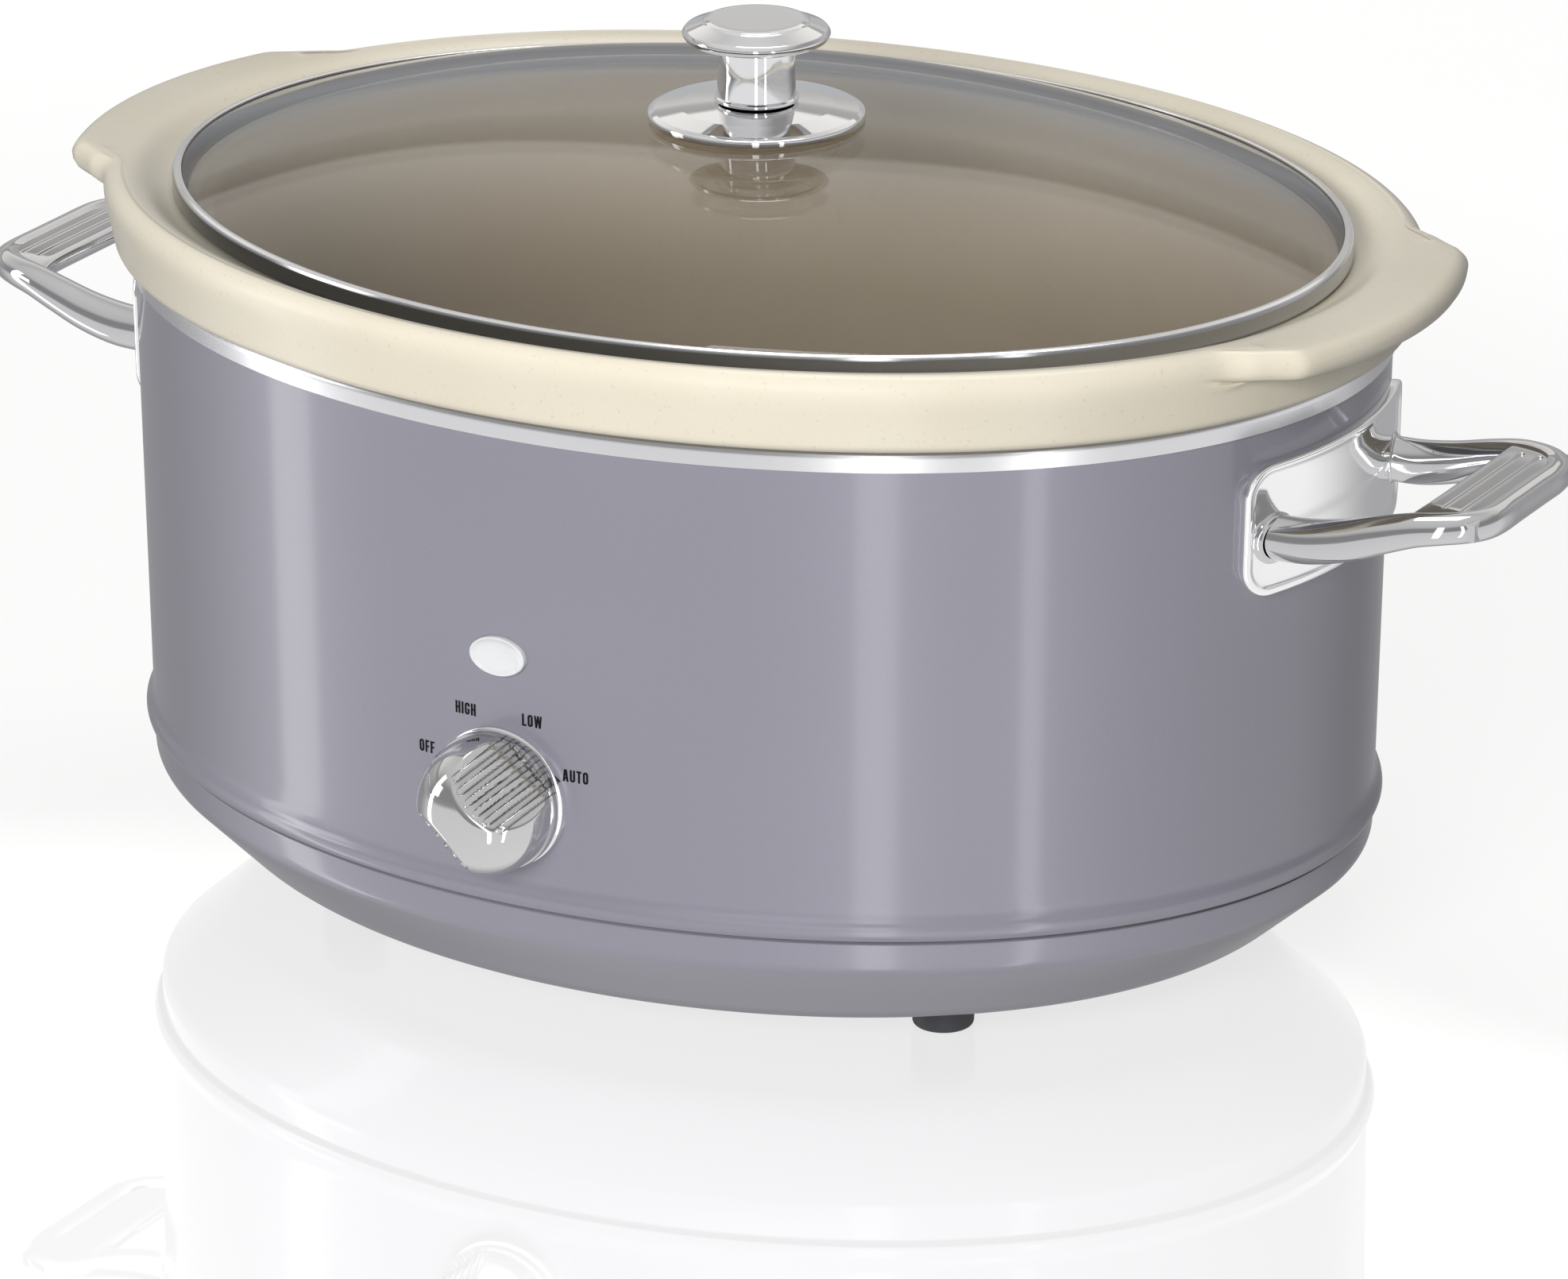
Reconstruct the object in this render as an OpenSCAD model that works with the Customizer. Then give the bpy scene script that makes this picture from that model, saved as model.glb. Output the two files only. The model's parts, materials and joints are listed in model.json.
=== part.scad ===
// Oval slow cooker: heated base, lift-out stoneware pot, lift-off glass lid.
// Frame: +Z up, origin on the table under the middle of the cooker, long side
// along X, control knob at the front (-Y). Every large ring is an oval: it is
// drawn as a turned profile and then narrowed across Y by the oval ratio.

/* [Body] */
// Half of the casing's length at its top edge
body_half = 172; // [168:1:176]
// Width of every oval divided by its length
oval = 0.777; // [0.77:0.001:0.785]
// Height of the feet, from the table to the pan
foot_h = 9.5; // [9:0.5:10]
// Height of the seam between the pan and the casing
seam_z = 41; // [40:0.5:42]
// Height of the lower edge of the bright rim
rim_z = 166.6; // [166:0.2:167]
// Thickness of the casing's sheet
sheet = 0.9; // [0.8:0.1:1]

/* [Pot] */
// Height of the pot's inside floor
pot_floor_z = 40; // [38:1:42]
// Height of the gutter that the lid rests in
gutter_z = 187.3; // [187:0.1:187.4]
// Height of the pot's lip
lip_z = 192.8; // [192.4:0.1:193]
// How far each lug stands out past the casing
lug_out = 19.4; // [17:0.2:20]

/* [Lid] */
// How far the glass rises from its rim to its middle
dome_rise = 21; // [20:0.5:21.5]
// Thickness of the glass
glass_t = 3.2; // [3:0.1:3.3]
// Radius of the bright disc under the lid knob
disc_r = 28.3; // [26:0.1:29]
// Radius of the lid knob's cap
cap_r = 19.4; // [18:0.1:21]
// Height of the top of the lid knob
top_z = 240; // [238:0.5:242]

/* [Control] */
// Height of the control knob's axis
dial_z = 70.4; // [69:0.2:72]
// Radius of the bezel disc
bezel_r = 18.6; // [17:0.1:19]
// How far the knob reaches in front of the casing
knob_reach = 24.6; // [23:0.1:25]
// Direction in which the knob's bar points, in degrees from the right, seen from the front
bar_angle = 137.5; // [22.5:0.5:157.5]
// Height of the indicator lens
lamp_z = 108.3; // [107:0.1:110]

/* [Handles] */
// Height of the handle legs where they leave the plate
leg_z = 138; // [137:0.5:139]
// Half of the distance between the two legs
leg_y = 34; // [33:0.5:35]
// Radius of the handle legs
leg_r = 5.9; // [5.6:0.1:6]
// How far the grip's outer edge is from the middle of the cooker
grip_x = 224; // [222:0.5:226]

/* [Hidden] */

fine = 144;          // facets of the large ovals
small = 64;          // facets of small round pieces
joint_gap = 0.3;     // clearance between pieces that lift apart
wall_low = 50;       // height where the casing's wall leaves its bead
wall_lean = 2.1;     // how far the wall leans in on its way down
liner_sheet = 0.8;
pan_sheet = 1;
pan_flat = body_half - 38;     // radius of the pan's flat floor
pan_bend = 26;                 // bend radius beside the flat floor
pan_slope = 41;                // slope of the pan's flank
pot_bottom = 29;               // underside of the pot
pot_corner = 24;               // radius of the pot's outer corner
pot_low = body_half - 32;      // pot's outer radius just above the corner
pot_high = body_half - 14;     // pot's outer radius below the flange
pot_high_z = 169;
well_gap = 2.2;                // air between the pot and the well
band_low = 86;
band_high = 132;
dome_r = body_half - 12;       // radius of the glass
edge_z = 192.2;                // height of the glass's upper edge
disc_z = 215.5;                // height of the disc's rim
foot_x = 88.7;
foot_y = 61;
foot_r = 8.4;
gland_z = 66;
rear_y = 132.2;                // back of the casing at the gland
plate_half = 43.7;             // half of a handle plate's width
plate_low = 123;
plate_high = 158.3;
plate_t = 2.8;
lug_angle = 28;                // half of the angle that a lug covers

// Radius of the casing's outer wall at height z
function wall_r(z) = body_half - wall_lean * (rim_z - z) / (rim_z - wall_low);

// Radius of the pot's outer wall, and of the well's inside, at height z
function pot_r(z) = pot_low + (pot_high - pot_low) * (z - pot_bottom - pot_corner)
    / (pot_high_z - pot_bottom - pot_corner);
function well_r(z) = pot_r(z) + well_gap;

// Height of the glass's upper face at radius r
function glass_z(r) = edge_z + dome_rise * (1 - pow(r / dome_r, 2.6));

// Half-width across Y of an oval of radius r at the distance x from its middle
function oval_y(r, x) = oval * sqrt(r * r - x * x);

// Points along an arc round the point (x, y)
function arc(x, y, r, from, to, n = 8) =
    [for (i = [0:n]) let (a = from + (to - from) * i / n) [x + r * cos(a), y + r * sin(a)]];

function backwards(list) = [for (i = [len(list) - 1:-1:0]) list[i]];

// Smooth step from 0 at a to 1 at b
function ease(a, b, v) = let (t = min(1, max(0, (v - a) / (b - a)))) t * t * (3 - 2 * t);

// Oval ring, made of four quarters
module oval_turn(points)
    for (a = [0:90:270]) scale([1, oval, 1]) rotate([0, 0, a])
        rotate_extrude(angle = 90, $fn = fine) polygon(points);

module turn(points)
    rotate_extrude($fn = small) polygon(points);

// Cylinder from the point a to the point b
module rod(a, b, r) {
    d = b - a;
    translate(a) rotate([0, acos(d[2] / norm(d)), atan2(d[1], d[0])])
        cylinder(h = norm(d), r = r, $fn = 24);
}

// Wire through a few points, with a round bend at each
module wire(route, r = 1.2) {
    for (i = [0:len(route) - 2]) rod(route[i], route[i + 1], r);
    for (i = [1:len(route) - 2]) translate(route[i]) sphere(r + 0.06, $fn = 24);
}

// Cylinder lying along Y from y0 to y1, at the place (x, z)
module along_y(x, z, y0, y1, r, facets = small)
    translate([x, y0, z]) rotate([-90, 0, 0]) cylinder(h = y1 - y0, r = r, $fn = facets);

// Cylinder lying along X from x0 to x1, at the place (y, z)
module along_x(y, z, x0, x1, r, facets = small)
    translate([x0, y, z]) rotate([0, 90, 0]) cylinder(h = x1 - x0, r = r, $fn = facets);

// Solid oval that fills the casing, out to offset past its wall
module casing_fill(offset)
    oval_turn([[0, wall_low], [wall_r(wall_low) + offset, wall_low],
        [wall_r(rim_z) + offset, rim_z], [0, rim_z]]);

// ---------------------------------------------------------------- base

// Bead at the foot of the casing, then the leaning wall
function shell_profile(inset) = concat(
    arc(body_half - 3, 43.8, 3 - inset, -50, 40),
    arc(body_half + 3.9, 49.6, 6 + inset, 220, 181),
    [[body_half - inset, rim_z], [body_half - inset, rim_z + 3.9]]);

module shell_holes() {
    along_y(0, dial_z, -140, -120, 5.2);
    translate([0, -120, lamp_z]) scale([1, 1, 0.65]) rotate([90, 0, 0])
        cylinder(h = 20, r = 8.1, $fn = small);
    along_y(0, gland_z, 120, 140, 6.2);
    for (side = [-1, 1], y = [-leg_y, leg_y])
        along_x(y, leg_z, side * 164 - 12, side * 164 + 12, 2.4);
}

module outer_shell() color([0.58, 0.57, 0.62]) difference() {
    oval_turn(concat(shell_profile(0), backwards(shell_profile(sheet))));
    shell_holes();
}

// Pan: flat floor, bend, sloping flank, upright band and a spigot inside the casing
function pan_profile(inset) = concat(
    [[0, foot_h + inset]],
    arc(pan_flat, foot_h + pan_bend, pan_bend - inset, -90, pan_slope - 90, 6),
    arc(body_half - 8.4, 34.7, 6 - inset, pan_slope - 90, 0, 6),
    [[body_half - 2.4 - inset, seam_z - 1 - inset], [body_half - 3.6 - inset, seam_z - 0.4 - inset],
        [body_half - 3.6 - inset, 48.5]]);

module base_pan() color([0.56, 0.55, 0.6]) difference() {
    oval_turn(concat(pan_profile(0), backwards(pan_profile(pan_sheet))));
    translate([0, 0, foot_h - 2]) cylinder(h = 6, r = 3.3, $fn = small);
    at_feet() translate([0, 0, foot_h - 2]) cylinder(h = 6, r = 2, $fn = small);
}

module at_feet()
    for (x = [-foot_x, foot_x], y = [-foot_y, foot_y]) translate([x, y, 0]) children();

// Well: floor, corner, leaning wall and a rim rolled over the casing's edge
function well_profile(out) = concat(
    [[0, pot_bottom - 2 - out]],
    arc(well_r(51) - pot_corner - 2, pot_bottom + pot_corner, pot_corner + 2 + out, -90, -9, 8),
    [[well_r(164) + out, 164], [body_half - 10.6 + out, 168.3 - out * 0.2],
        [body_half - 8.5 + out * 0.7, 171 - out * 0.6], [body_half - 5.5, 172.3 - out]],
    arc(body_half - 1.6, 169.8, 2.5 - out, 90, 0, 6),
    [[body_half + 0.9 - out, rim_z]]);

module inner_liner() color([0.86, 0.86, 0.87])
    oval_turn(concat(well_profile(0), backwards(well_profile(liner_sheet))));

// Flat heating band round the well, open at the back
band_t = 3;
band_skin = well_gap + liner_sheet + 0.2;
module heater_band() color([0.72, 0.68, 0.6])
    scale([1, oval, 1]) rotate([0, 0, 100]) rotate_extrude(angle = 340, $fn = fine)
        polygon([for (p = [[0, band_low], [band_t, band_low], [band_t, band_high], [0, band_high]])
            [pot_r(p[1]) + band_skin + p[0], p[1]]]);

// Two spring clips across the gap in the band
clip_y = 121.2;
module heater_clamps() color([0.7, 0.7, 0.72])
    for (z = [98, 118]) difference() {
        translate([-30, clip_y - 0.4, z - 4]) cube([60, 1, 8]);
        for (x = [-26, 26]) along_y(x, z, clip_y - 3, clip_y + 3, 1.2);
    }

module thermostat() color([0.2, 0.2, 0.22]) {
    translate([56, 0, 17.4]) cylinder(h = 7.6, r = 8, $fn = small);
    for (y = [-10.5, 7.5]) translate([53, y, 18.6]) cube([6, 3, 0.8]);
}

module thermostat_bracket() color([0.75, 0.75, 0.76]) difference() {
    translate([44, -13, 25.1]) cube([24, 26, 1]);
    for (y = [-10.5, 10.5]) translate([56, y, 20]) cylinder(h = 10, r = 1.6, $fn = small);
}

module thermal_fuse() color([0.9, 0.88, 0.8]) {
    along_y(-56, 22, -12, 12, 2.6);
    along_y(-56, 22, -26, 26, 0.7, 24);
}

switch_back = -116.5;
switch_front = -129.6;
module rotary_switch() color([0.93, 0.92, 0.88]) difference() {
    union() {
        translate([-14, switch_front, dial_z - 12]) cube([28, switch_back - switch_front, 24]);
        along_y(0, dial_z, -135, switch_front + 1, 4.8);
    }
    along_y(0, dial_z, -136, -123, 3.05);
}

module switch_bracket() color([0.7, 0.7, 0.72]) difference() {
    translate([-17, switch_front - 1, dial_z - 14.5]) cube([34, 1, 29]);
    along_y(0, dial_z, -134, -126, 5);
}

module switch_nut() color([0.75, 0.75, 0.77]) difference() {
    along_y(0, dial_z, -134.5, -132.4, 7.6, 6);
    along_y(0, dial_z, -136, -131, 4.9);
}

// Disc behind the knob, hollowed at the back to sit on the curved wall
bezel_front = -134.3;
module knob_bezel() color([0.86, 0.86, 0.87]) difference() {
    translate([0, bezel_front, dial_z]) rotate([-90, 0, 0])
        turn([[9.4, 0], [bezel_r - 0.8, 0], [bezel_r, 0.8], [bezel_r, 4], [9.4, 4]]);
    casing_fill(0.05);
}

module indicator_lens() color([0.95, 0.95, 0.95]) translate([0, 0, lamp_z])
    scale([1, 1, 0.65]) rotate([90, 0, 0]) {
        translate([0, 0, 130.2]) cylinder(h = 1.5, r = 9.6, $fn = small);
        translate([0, 0, 130.2]) cylinder(h = 3.2, r = 8, $fn = small);
    }

module lamp_holder() color([0.95, 0.95, 0.93]) difference() {
    translate([-9, -130.1, lamp_z - 5]) cube([18, 8, 10]);
    along_x(-126, lamp_z, -10, 10, 3.1);
}

module neon_lamp() color([0.95, 0.6, 0.4]) {
    along_x(-126, lamp_z, -6.5, 6, 2.7);
    translate([6, -126, lamp_z]) sphere(2.7, $fn = 32);
}

block_x = 26;
module terminal_block() color([0.95, 0.95, 0.93]) difference() {
    translate([block_x, 113.5, 52]) cube([24, 9, 14]);
    at_terminals() cylinder(h = 10, r = 2, $fn = small);
}

module at_terminals()
    for (i = [0:2]) translate([block_x + 4 + 8 * i, 118, 58]) children();

module terminal_screws() color([0.8, 0.7, 0.4]) at_terminals() difference() {
    cylinder(h = 6.6, r = 1.9, $fn = small);
    translate([-3, -0.3, 5.8]) cube([6, 0.6, 1.6]);
}

// Cord gland: collar outside the casing, dome nut and a neck through the wall
module cord_gland() color([0.1, 0.1, 0.11]) translate([0, 0, gland_z]) rotate([-90, 0, 0])
    turn([[3.8, 121.5], [6, 121.5], [6, rear_y + 0.1], [10, rear_y + 0.1], [10, 136.4],
        [8.9, 137.2], [8.9, 144.5], [8.2, 148.4], [6.6, 150.9], [5, 151.5], [3.8, 150.6]]);

module gland_nut() color([0.12, 0.12, 0.13]) difference() {
    along_y(0, gland_z, 127, 130.9, 9.8, 6);
    along_y(0, gland_z, 120, 136, 6.1);
}

module earth_tag() color([0.8, 0.7, 0.4]) difference() {
    union() {
        translate([0, 0, 24.9]) cylinder(h = 0.9, r = 7, $fn = small);
        rotate([0, 0, 55]) translate([4, -2.5, 24.9]) cube([14, 5, 0.9]);
    }
    translate([0, 0, 20]) cylinder(h = 10, r = 3.1, $fn = small);
}

module tie_stud() color([0.72, 0.72, 0.74])
    translate([0, 0, 3]) cylinder(h = 23.1, r = 3, $fn = small);

module tie_washer() color([0.75, 0.75, 0.77]) translate([0, 0, foot_h - 1.2]) difference() {
    cylinder(h = 1.2, r = 9, $fn = small);
    translate([0, 0, -1]) cylinder(h = 4, r = 3.2, $fn = small);
}

module tie_nut() color([0.72, 0.72, 0.74]) translate([0, 0, foot_h - 6.2]) difference() {
    cylinder(h = 5, r = 6.4, $fn = 6);
    translate([0, 0, -1]) cylinder(h = 8, r = 3.05, $fn = small);
}

// Rubber foot with a recess for its screw
module foot(x, y) color([0.15, 0.15, 0.17]) translate([x, y, 0])
    turn(concat([[3.6, 0]], arc(foot_r - 1.9, 1.4, 1.4, -90, -5, 5),
        [[foot_r, foot_h], [2, foot_h], [2, 5], [3.6, 5]]));

module foot_front_left() foot(-foot_x, -foot_y);
module foot_front_right() foot(foot_x, -foot_y);
module foot_rear_left() foot(-foot_x, foot_y);
module foot_rear_right() foot(foot_x, foot_y);

module foot_screws() color([0.6, 0.6, 0.62]) at_feet() difference() {
    turn([[0, 2.4], [3.1, 2.4], [3.3, 3.2], [3.3, 4.9], [1.9, 4.9], [1.9, 13], [0, 14.5]]);
    for (a = [0, 90]) rotate([0, 0, a]) translate([-2, -0.4, 1.9]) cube([4, 0.8, 1.3]);
}

// ------------------------------------------------------------- handles

module rounded_plate_outline(half_w, low, high, r)
    for (i = [0, 1]) {
        translate([-half_w + i * r, low + (1 - i) * r])
            square([2 * (half_w - i * r), high - low - 2 * (1 - i) * r]);
        for (y = [-half_w + r, half_w - r])
            translate([y, i == 0 ? low + r : high - r]) circle(r, $fn = small);
    }

// Back plate that follows the casing's curve
module handle_plate_right() color([0.85, 0.85, 0.87]) difference() {
    intersection() {
        oval_turn([[wall_r(plate_low - 3) + 0.1, plate_low - 3],
            [wall_r(plate_low - 3) + plate_t, plate_low - 3],
            [wall_r(plate_high + 3) + plate_t, plate_high + 3],
            [wall_r(plate_high + 3) + 0.1, plate_high + 3]]);
        translate([140, 0, 0]) rotate([90, 0, 90]) linear_extrude(50)
            rounded_plate_outline(plate_half, plate_low, plate_high, 8);
    }
    for (y = [-leg_y, leg_y]) along_x(y, leg_z, 150, 200, 2.4);
}

module handle_plate_left() mirror([1, 0, 0]) handle_plate_right();

// Grip: two round legs that bend up into a flat bar with rounded edges
bar_z = 146.5;
bar_r = 4;
module grip_leg(side) hull() {
    along_x(side * leg_y, leg_z, 168.5, 171, leg_r, 32);
    translate([204, side * 31, bar_z - 1.2]) sphere(5, $fn = 24);
}

module grip_bar() hull()
    for (side = [-1, 1]) {
        translate([204 + bar_r - 1, side * 30, bar_z]) sphere(bar_r, $fn = 24);
        translate([grip_x - bar_r, side * 21, bar_z - 0.2]) sphere(bar_r, $fn = 24);
    }

module grip_corner(side) hull() {
    translate([204, side * 31, bar_z - 1.2]) sphere(5, $fn = 24);
    translate([grip_x - bar_r - 3, side * 24, bar_z - 0.2]) sphere(bar_r, $fn = 24);
}

module handle_grip_right() color([0.85, 0.85, 0.87]) difference() {
    union() {
        for (side = [-1, 1]) {
            grip_leg(side);
            grip_corner(side);
        }
        grip_bar();
    }
    casing_fill(plate_t + 0.05);
    for (x = [209, 214, 218.6]) translate([x, -23.5, bar_z + bar_r - 0.3])
        rotate([-90, 0, 0]) cylinder(h = 47, r = 0.6, $fn = 24);
    for (y = [-leg_y, leg_y]) along_x(y, leg_z, 150, 184, 2);
}

module handle_grip_left() mirror([1, 0, 0]) handle_grip_right();

module at_handle_screws()
    for (m = [0, 1], y = [-leg_y, leg_y]) mirror([m, 0, 0]) translate([0, y, leg_z]) children();

module handle_screws() color([0.7, 0.7, 0.72]) at_handle_screws() difference() {
    union() {
        translate([155, 0, 0]) rotate([0, 90, 0]) cylinder(h = 2.4, r = 4, $fn = small);
        translate([157, 0, 0]) rotate([0, 90, 0]) cylinder(h = 25, r = 1.9, $fn = small);
    }
    for (a = [0, 90]) rotate([a, 0, 0]) translate([154, -2.5, -0.4]) cube([2.2, 5, 0.8]);
}

// Wedge washers that fill the space between a flat screw head and the curved wall
module handle_washers() color([0.2, 0.2, 0.22]) intersection() {
    at_handle_screws() difference() {
        translate([157.5, 0, 0]) rotate([0, 90, 0]) cylinder(h = 9, r = 6, $fn = small);
        translate([156, 0, 0]) rotate([0, 90, 0]) cylinder(h = 14, r = 2.4, $fn = small);
    }
    casing_fill(-sheet - 0.05);
}

// --------------------------------------------------------------- wires

lay_r = body_half - 14;
lay_z = 47;          // height at which the wires lie

// Points round the inside of the casing between two angles
function lay(from, to, n = 8) = [for (i = [0:n]) let (a = from + (to - from) * i / n)
    [lay_r * cos(a), oval * lay_r * sin(a), lay_z]];

// Wire that rises from both ends of such a run to the heights z0 and z1
module wire_round(from, to, z0, z1) {
    run = lay(from, to);
    wire(concat([[run[0][0], run[0][1], z0]], run, [[run[8][0], run[8][1], z1]]));
}

module wire_live() color([0.45, 0.28, 0.15]) wire_round(-86, 79, dial_z - 12.1, 51.9);

module wire_heat() color([0.75, 0.2, 0.15]) mirror([1, 0, 0])
    wire_round(-85, 74, dial_z - 12.1, 92);

module wire_neutral() color([0.2, 0.35, 0.7])
    wire([[46, 118, 66.2], [46, 118, 76], [36, 119, 84], [34, 119.5, 96]]);

module wire_earth() color([0.35, 0.6, 0.2])
    wire([[10, 14, 23.4], [28, 70, 21], [34, 108, 25], [38, 112.5, 41], [38, 114.6, 46.5],
        [38, 118, 51.8]]);

// ----------------------------------------------------------------- pot

// Outside: floor, corner, leaning wall, flange over the bright rim, skirt
pot_outside = concat(
    [[0, pot_bottom]],
    arc(pot_r(53) - pot_corner, pot_bottom + pot_corner, pot_corner, -90, -9),
    [[pot_high, pot_high_z], [pot_high + 0.8, 171.4], [pot_high + 2.6, 172.6]],
    arc(body_half + 2.8, 175.6, 3, -90, -8, 6),
    [[body_half + 8.2, 187.4]]);

// Lip, gutter for the lid, and the inside down to the floor
pot_inside = concat(
    arc(body_half + 3.4, lip_z - 4.8, 4.8, 0, 84, 7),
    arc(body_half - 1.8, lip_z - 1.6, 1.5, 90, 165, 4),
    [[body_half - 6.2, gutter_z + 1], [body_half - 7.4, gutter_z], [body_half - 18, gutter_z]],
    arc(body_half - 19.4, gutter_z - 3.2, -3, 240, 175, 4),
    arc(body_half - 61.5, pot_floor_z + 20, 20, -4, -90),
    [[0, pot_floor_z]]);

// Lug outline, fading into the rim at both ends
function lug_r(a) = body_half + 5 + (lug_out - 5) * (1 - ease(lug_angle - 4.5, lug_angle + 4, abs(a)));

module lug() translate([0, 0, lip_z - 8.6]) linear_extrude(8.2)
    polygon(concat([for (a = [-34:2:34]) lug_r(a) * [cos(a), sin(a)]],
        [for (a = [34:-17:-34]) (body_half + 1) * [cos(a), sin(a)]]));

module crock() color([0.93, 0.9, 0.82]) {
    oval_turn(concat(pot_outside, pot_inside));
    for (a = [0, 180]) scale([1, oval, 1]) rotate([0, 0, a]) lug();
}

// ----------------------------------------------------------------- lid

glass_steps = 14;
glass_top = [for (i = [0:glass_steps]) let (r = (dome_r - 0.2) * i / glass_steps) [r, glass_z(r)]];
module lid_glass() color([0.8, 0.83, 0.84, 0.4]) difference() {
    oval_turn(concat([for (p = glass_top) [p[0], p[1] - glass_t]], backwards(glass_top)));
    translate([0, 0, 200]) cylinder(h = 20, r = 4.5, $fn = small);
}

// Steel band that grips the edge of the glass and stands in the gutter
band_r = body_half - 11;
rim_foot = gutter_z + joint_gap;
module lid_rim() color([0.8, 0.8, 0.82])
    oval_turn(concat([[band_r - 4, rim_foot], [band_r, rim_foot], [band_r, 191.4]],
        arc(band_r - 1.5, 191.5, 1.5, 0, 80, 5),
        [[band_r - 5, 194.2], [band_r - 5, 193.7], [band_r - 0.9, 192.4],
            [band_r - 0.9, 188.7], [band_r - 4, 188.7]]));

module knob_plate() color([0.85, 0.85, 0.87])
    turn([[3, 214.2], [disc_r - 2, 213.9], [disc_r - 1.4, disc_z - 2.3], [disc_r, disc_z - 2.2],
        [disc_r, disc_z - 0.3], [disc_r - 0.4, disc_z], [disc_r * 0.7, disc_z + 1.4],
        [10.9, disc_z + 2.5], [3, disc_z + 2.6]]);

stem_low = disc_z + 2.7;
stem_high = top_z - 6.6;
module knob_stem() color([0.85, 0.85, 0.87])
    turn(concat([[2.45, stem_low], [10.4, stem_low]], arc(10.3, stem_low + 0.7, 0.5, -60, 60, 4),
        [[10.1, stem_low + 1.6], [10.1, stem_high], [4.1, stem_high], [4.1, stem_high - 5],
            [2.45, stem_high - 5]]));

module knob_cap() color([0.85, 0.85, 0.87])
    turn(concat([[0, stem_high - 4.9], [4, stem_high - 4.9], [4, stem_high + 0.1]],
        [[cap_r - 4.4, stem_high + 0.3], [cap_r - 1.2, stem_high + 1.2]],
        arc(cap_r - 1, top_z - 3.6, 1, -40, 50, 4),
        [[cap_r - 6, top_z - 0.5], [cap_r - 7.2, top_z], [0, top_z]]));

module seal_washer() color([0.9, 0.9, 0.9])
    turn([[4.6, glass_z(0) + 0.05], [22, glass_z(0) + 0.05], [22, 213.85], [4.6, 213.85]]);

under_z = glass_z(0) - glass_t;
module under_washer() color([0.8, 0.8, 0.82])
    turn([[2.6, under_z - 1.4], [9, under_z - 1.4], [11.6, under_z - 0.6], [11.6, under_z - 0.1],
        [2.6, under_z - 0.1]]);

module lid_screw() color([0.8, 0.8, 0.82]) difference() {
    turn([[0, under_z - 4], [3, under_z - 4], [4.2, under_z - 3], [4.2, under_z - 1.5],
        [2.4, under_z - 1.5], [2.4, stem_high - 6], [0, stem_high - 6]]);
    for (a = [0, 90]) rotate([0, 0, a]) translate([-2.5, -0.5, under_z - 4.5]) cube([5, 1, 1.6]);
}

// ------------------------------------------------------------- control

// Knob: round base with a domed grip bar across it, between two sloping flanks.
// It is drawn standing up along Z and then laid forward.
knob_back = 2.4;               // gap from the casing to the knob's base
knob_dome = concat([[0, knob_back], [17.6, knob_back], [18.3, knob_back + 0.6], [18.3, 7]],
    [for (a = [10:10:80]) [18.3 * cos(a), 7 + (knob_reach - 7) * sin(a)]], [[0, knob_reach]]);

module knob_flank() translate([0, 20, 0]) rotate([90, 0, 0])
    translate([0, 0, -1]) linear_extrude(42)
        polygon([[4.8, knob_reach + 1], [4.9, knob_reach - 0.9], [8.7, 17.6], [12.6, 11.2], [16, 4.6],
            [20, 4.4], [20, knob_reach + 1]]);

module control_knob() color([0.85, 0.85, 0.87])
    translate([0, -rear_y, dial_z]) rotate([90, 0, 0]) rotate([0, 0, bar_angle - 90])
        difference() {
            intersection() {
                rotate_extrude($fn = 96) polygon(knob_dome);
                cylinder(h = knob_reach, r = 18.3, $fn = 96);
            }
            knob_flank();
            mirror([1, 0, 0]) knob_flank();
            translate([0, 0, knob_back - 1]) cylinder(h = 12.6, r = 3.1, $fn = small);
            translate([0, 0, knob_back - 1]) cylinder(h = 2, r = 8.6, $fn = small);
        }

module switch_shaft() color([0.8, 0.8, 0.82]) difference() {
    along_y(0, dial_z, -145.5, -124, 3);
    translate([-4, -146, dial_z + 2.2]) cube([8, 8.6, 2]);
}

module knob_spring_clip() color([0.75, 0.75, 0.77])
    translate([-1.6, -145.2, dial_z + 2.25]) cube([3.2, 7, 0.35]);

outer_shell();
base_pan();
inner_liner();
heater_band();
heater_clamps();
thermostat();
thermostat_bracket();
thermal_fuse();
rotary_switch();
switch_bracket();
switch_nut();
knob_bezel();
indicator_lens();
lamp_holder();
neon_lamp();
terminal_block();
terminal_screws();
cord_gland();
gland_nut();
earth_tag();
tie_stud();
tie_washer();
tie_nut();
foot_front_left();
foot_front_right();
foot_rear_left();
foot_rear_right();
foot_screws();
handle_plate_left();
handle_plate_right();
handle_grip_left();
handle_grip_right();
handle_screws();
handle_washers();
wire_live();
wire_neutral();
wire_heat();
wire_earth();
crock();
lid_glass();
lid_rim();
knob_plate();
knob_stem();
knob_cap();
seal_washer();
under_washer();
lid_screw();
control_knob();
switch_shaft();
knob_spring_clip();
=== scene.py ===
import bpy
import bmesh
import json
import math
import numpy as np
from mathutils import Matrix, Vector


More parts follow.
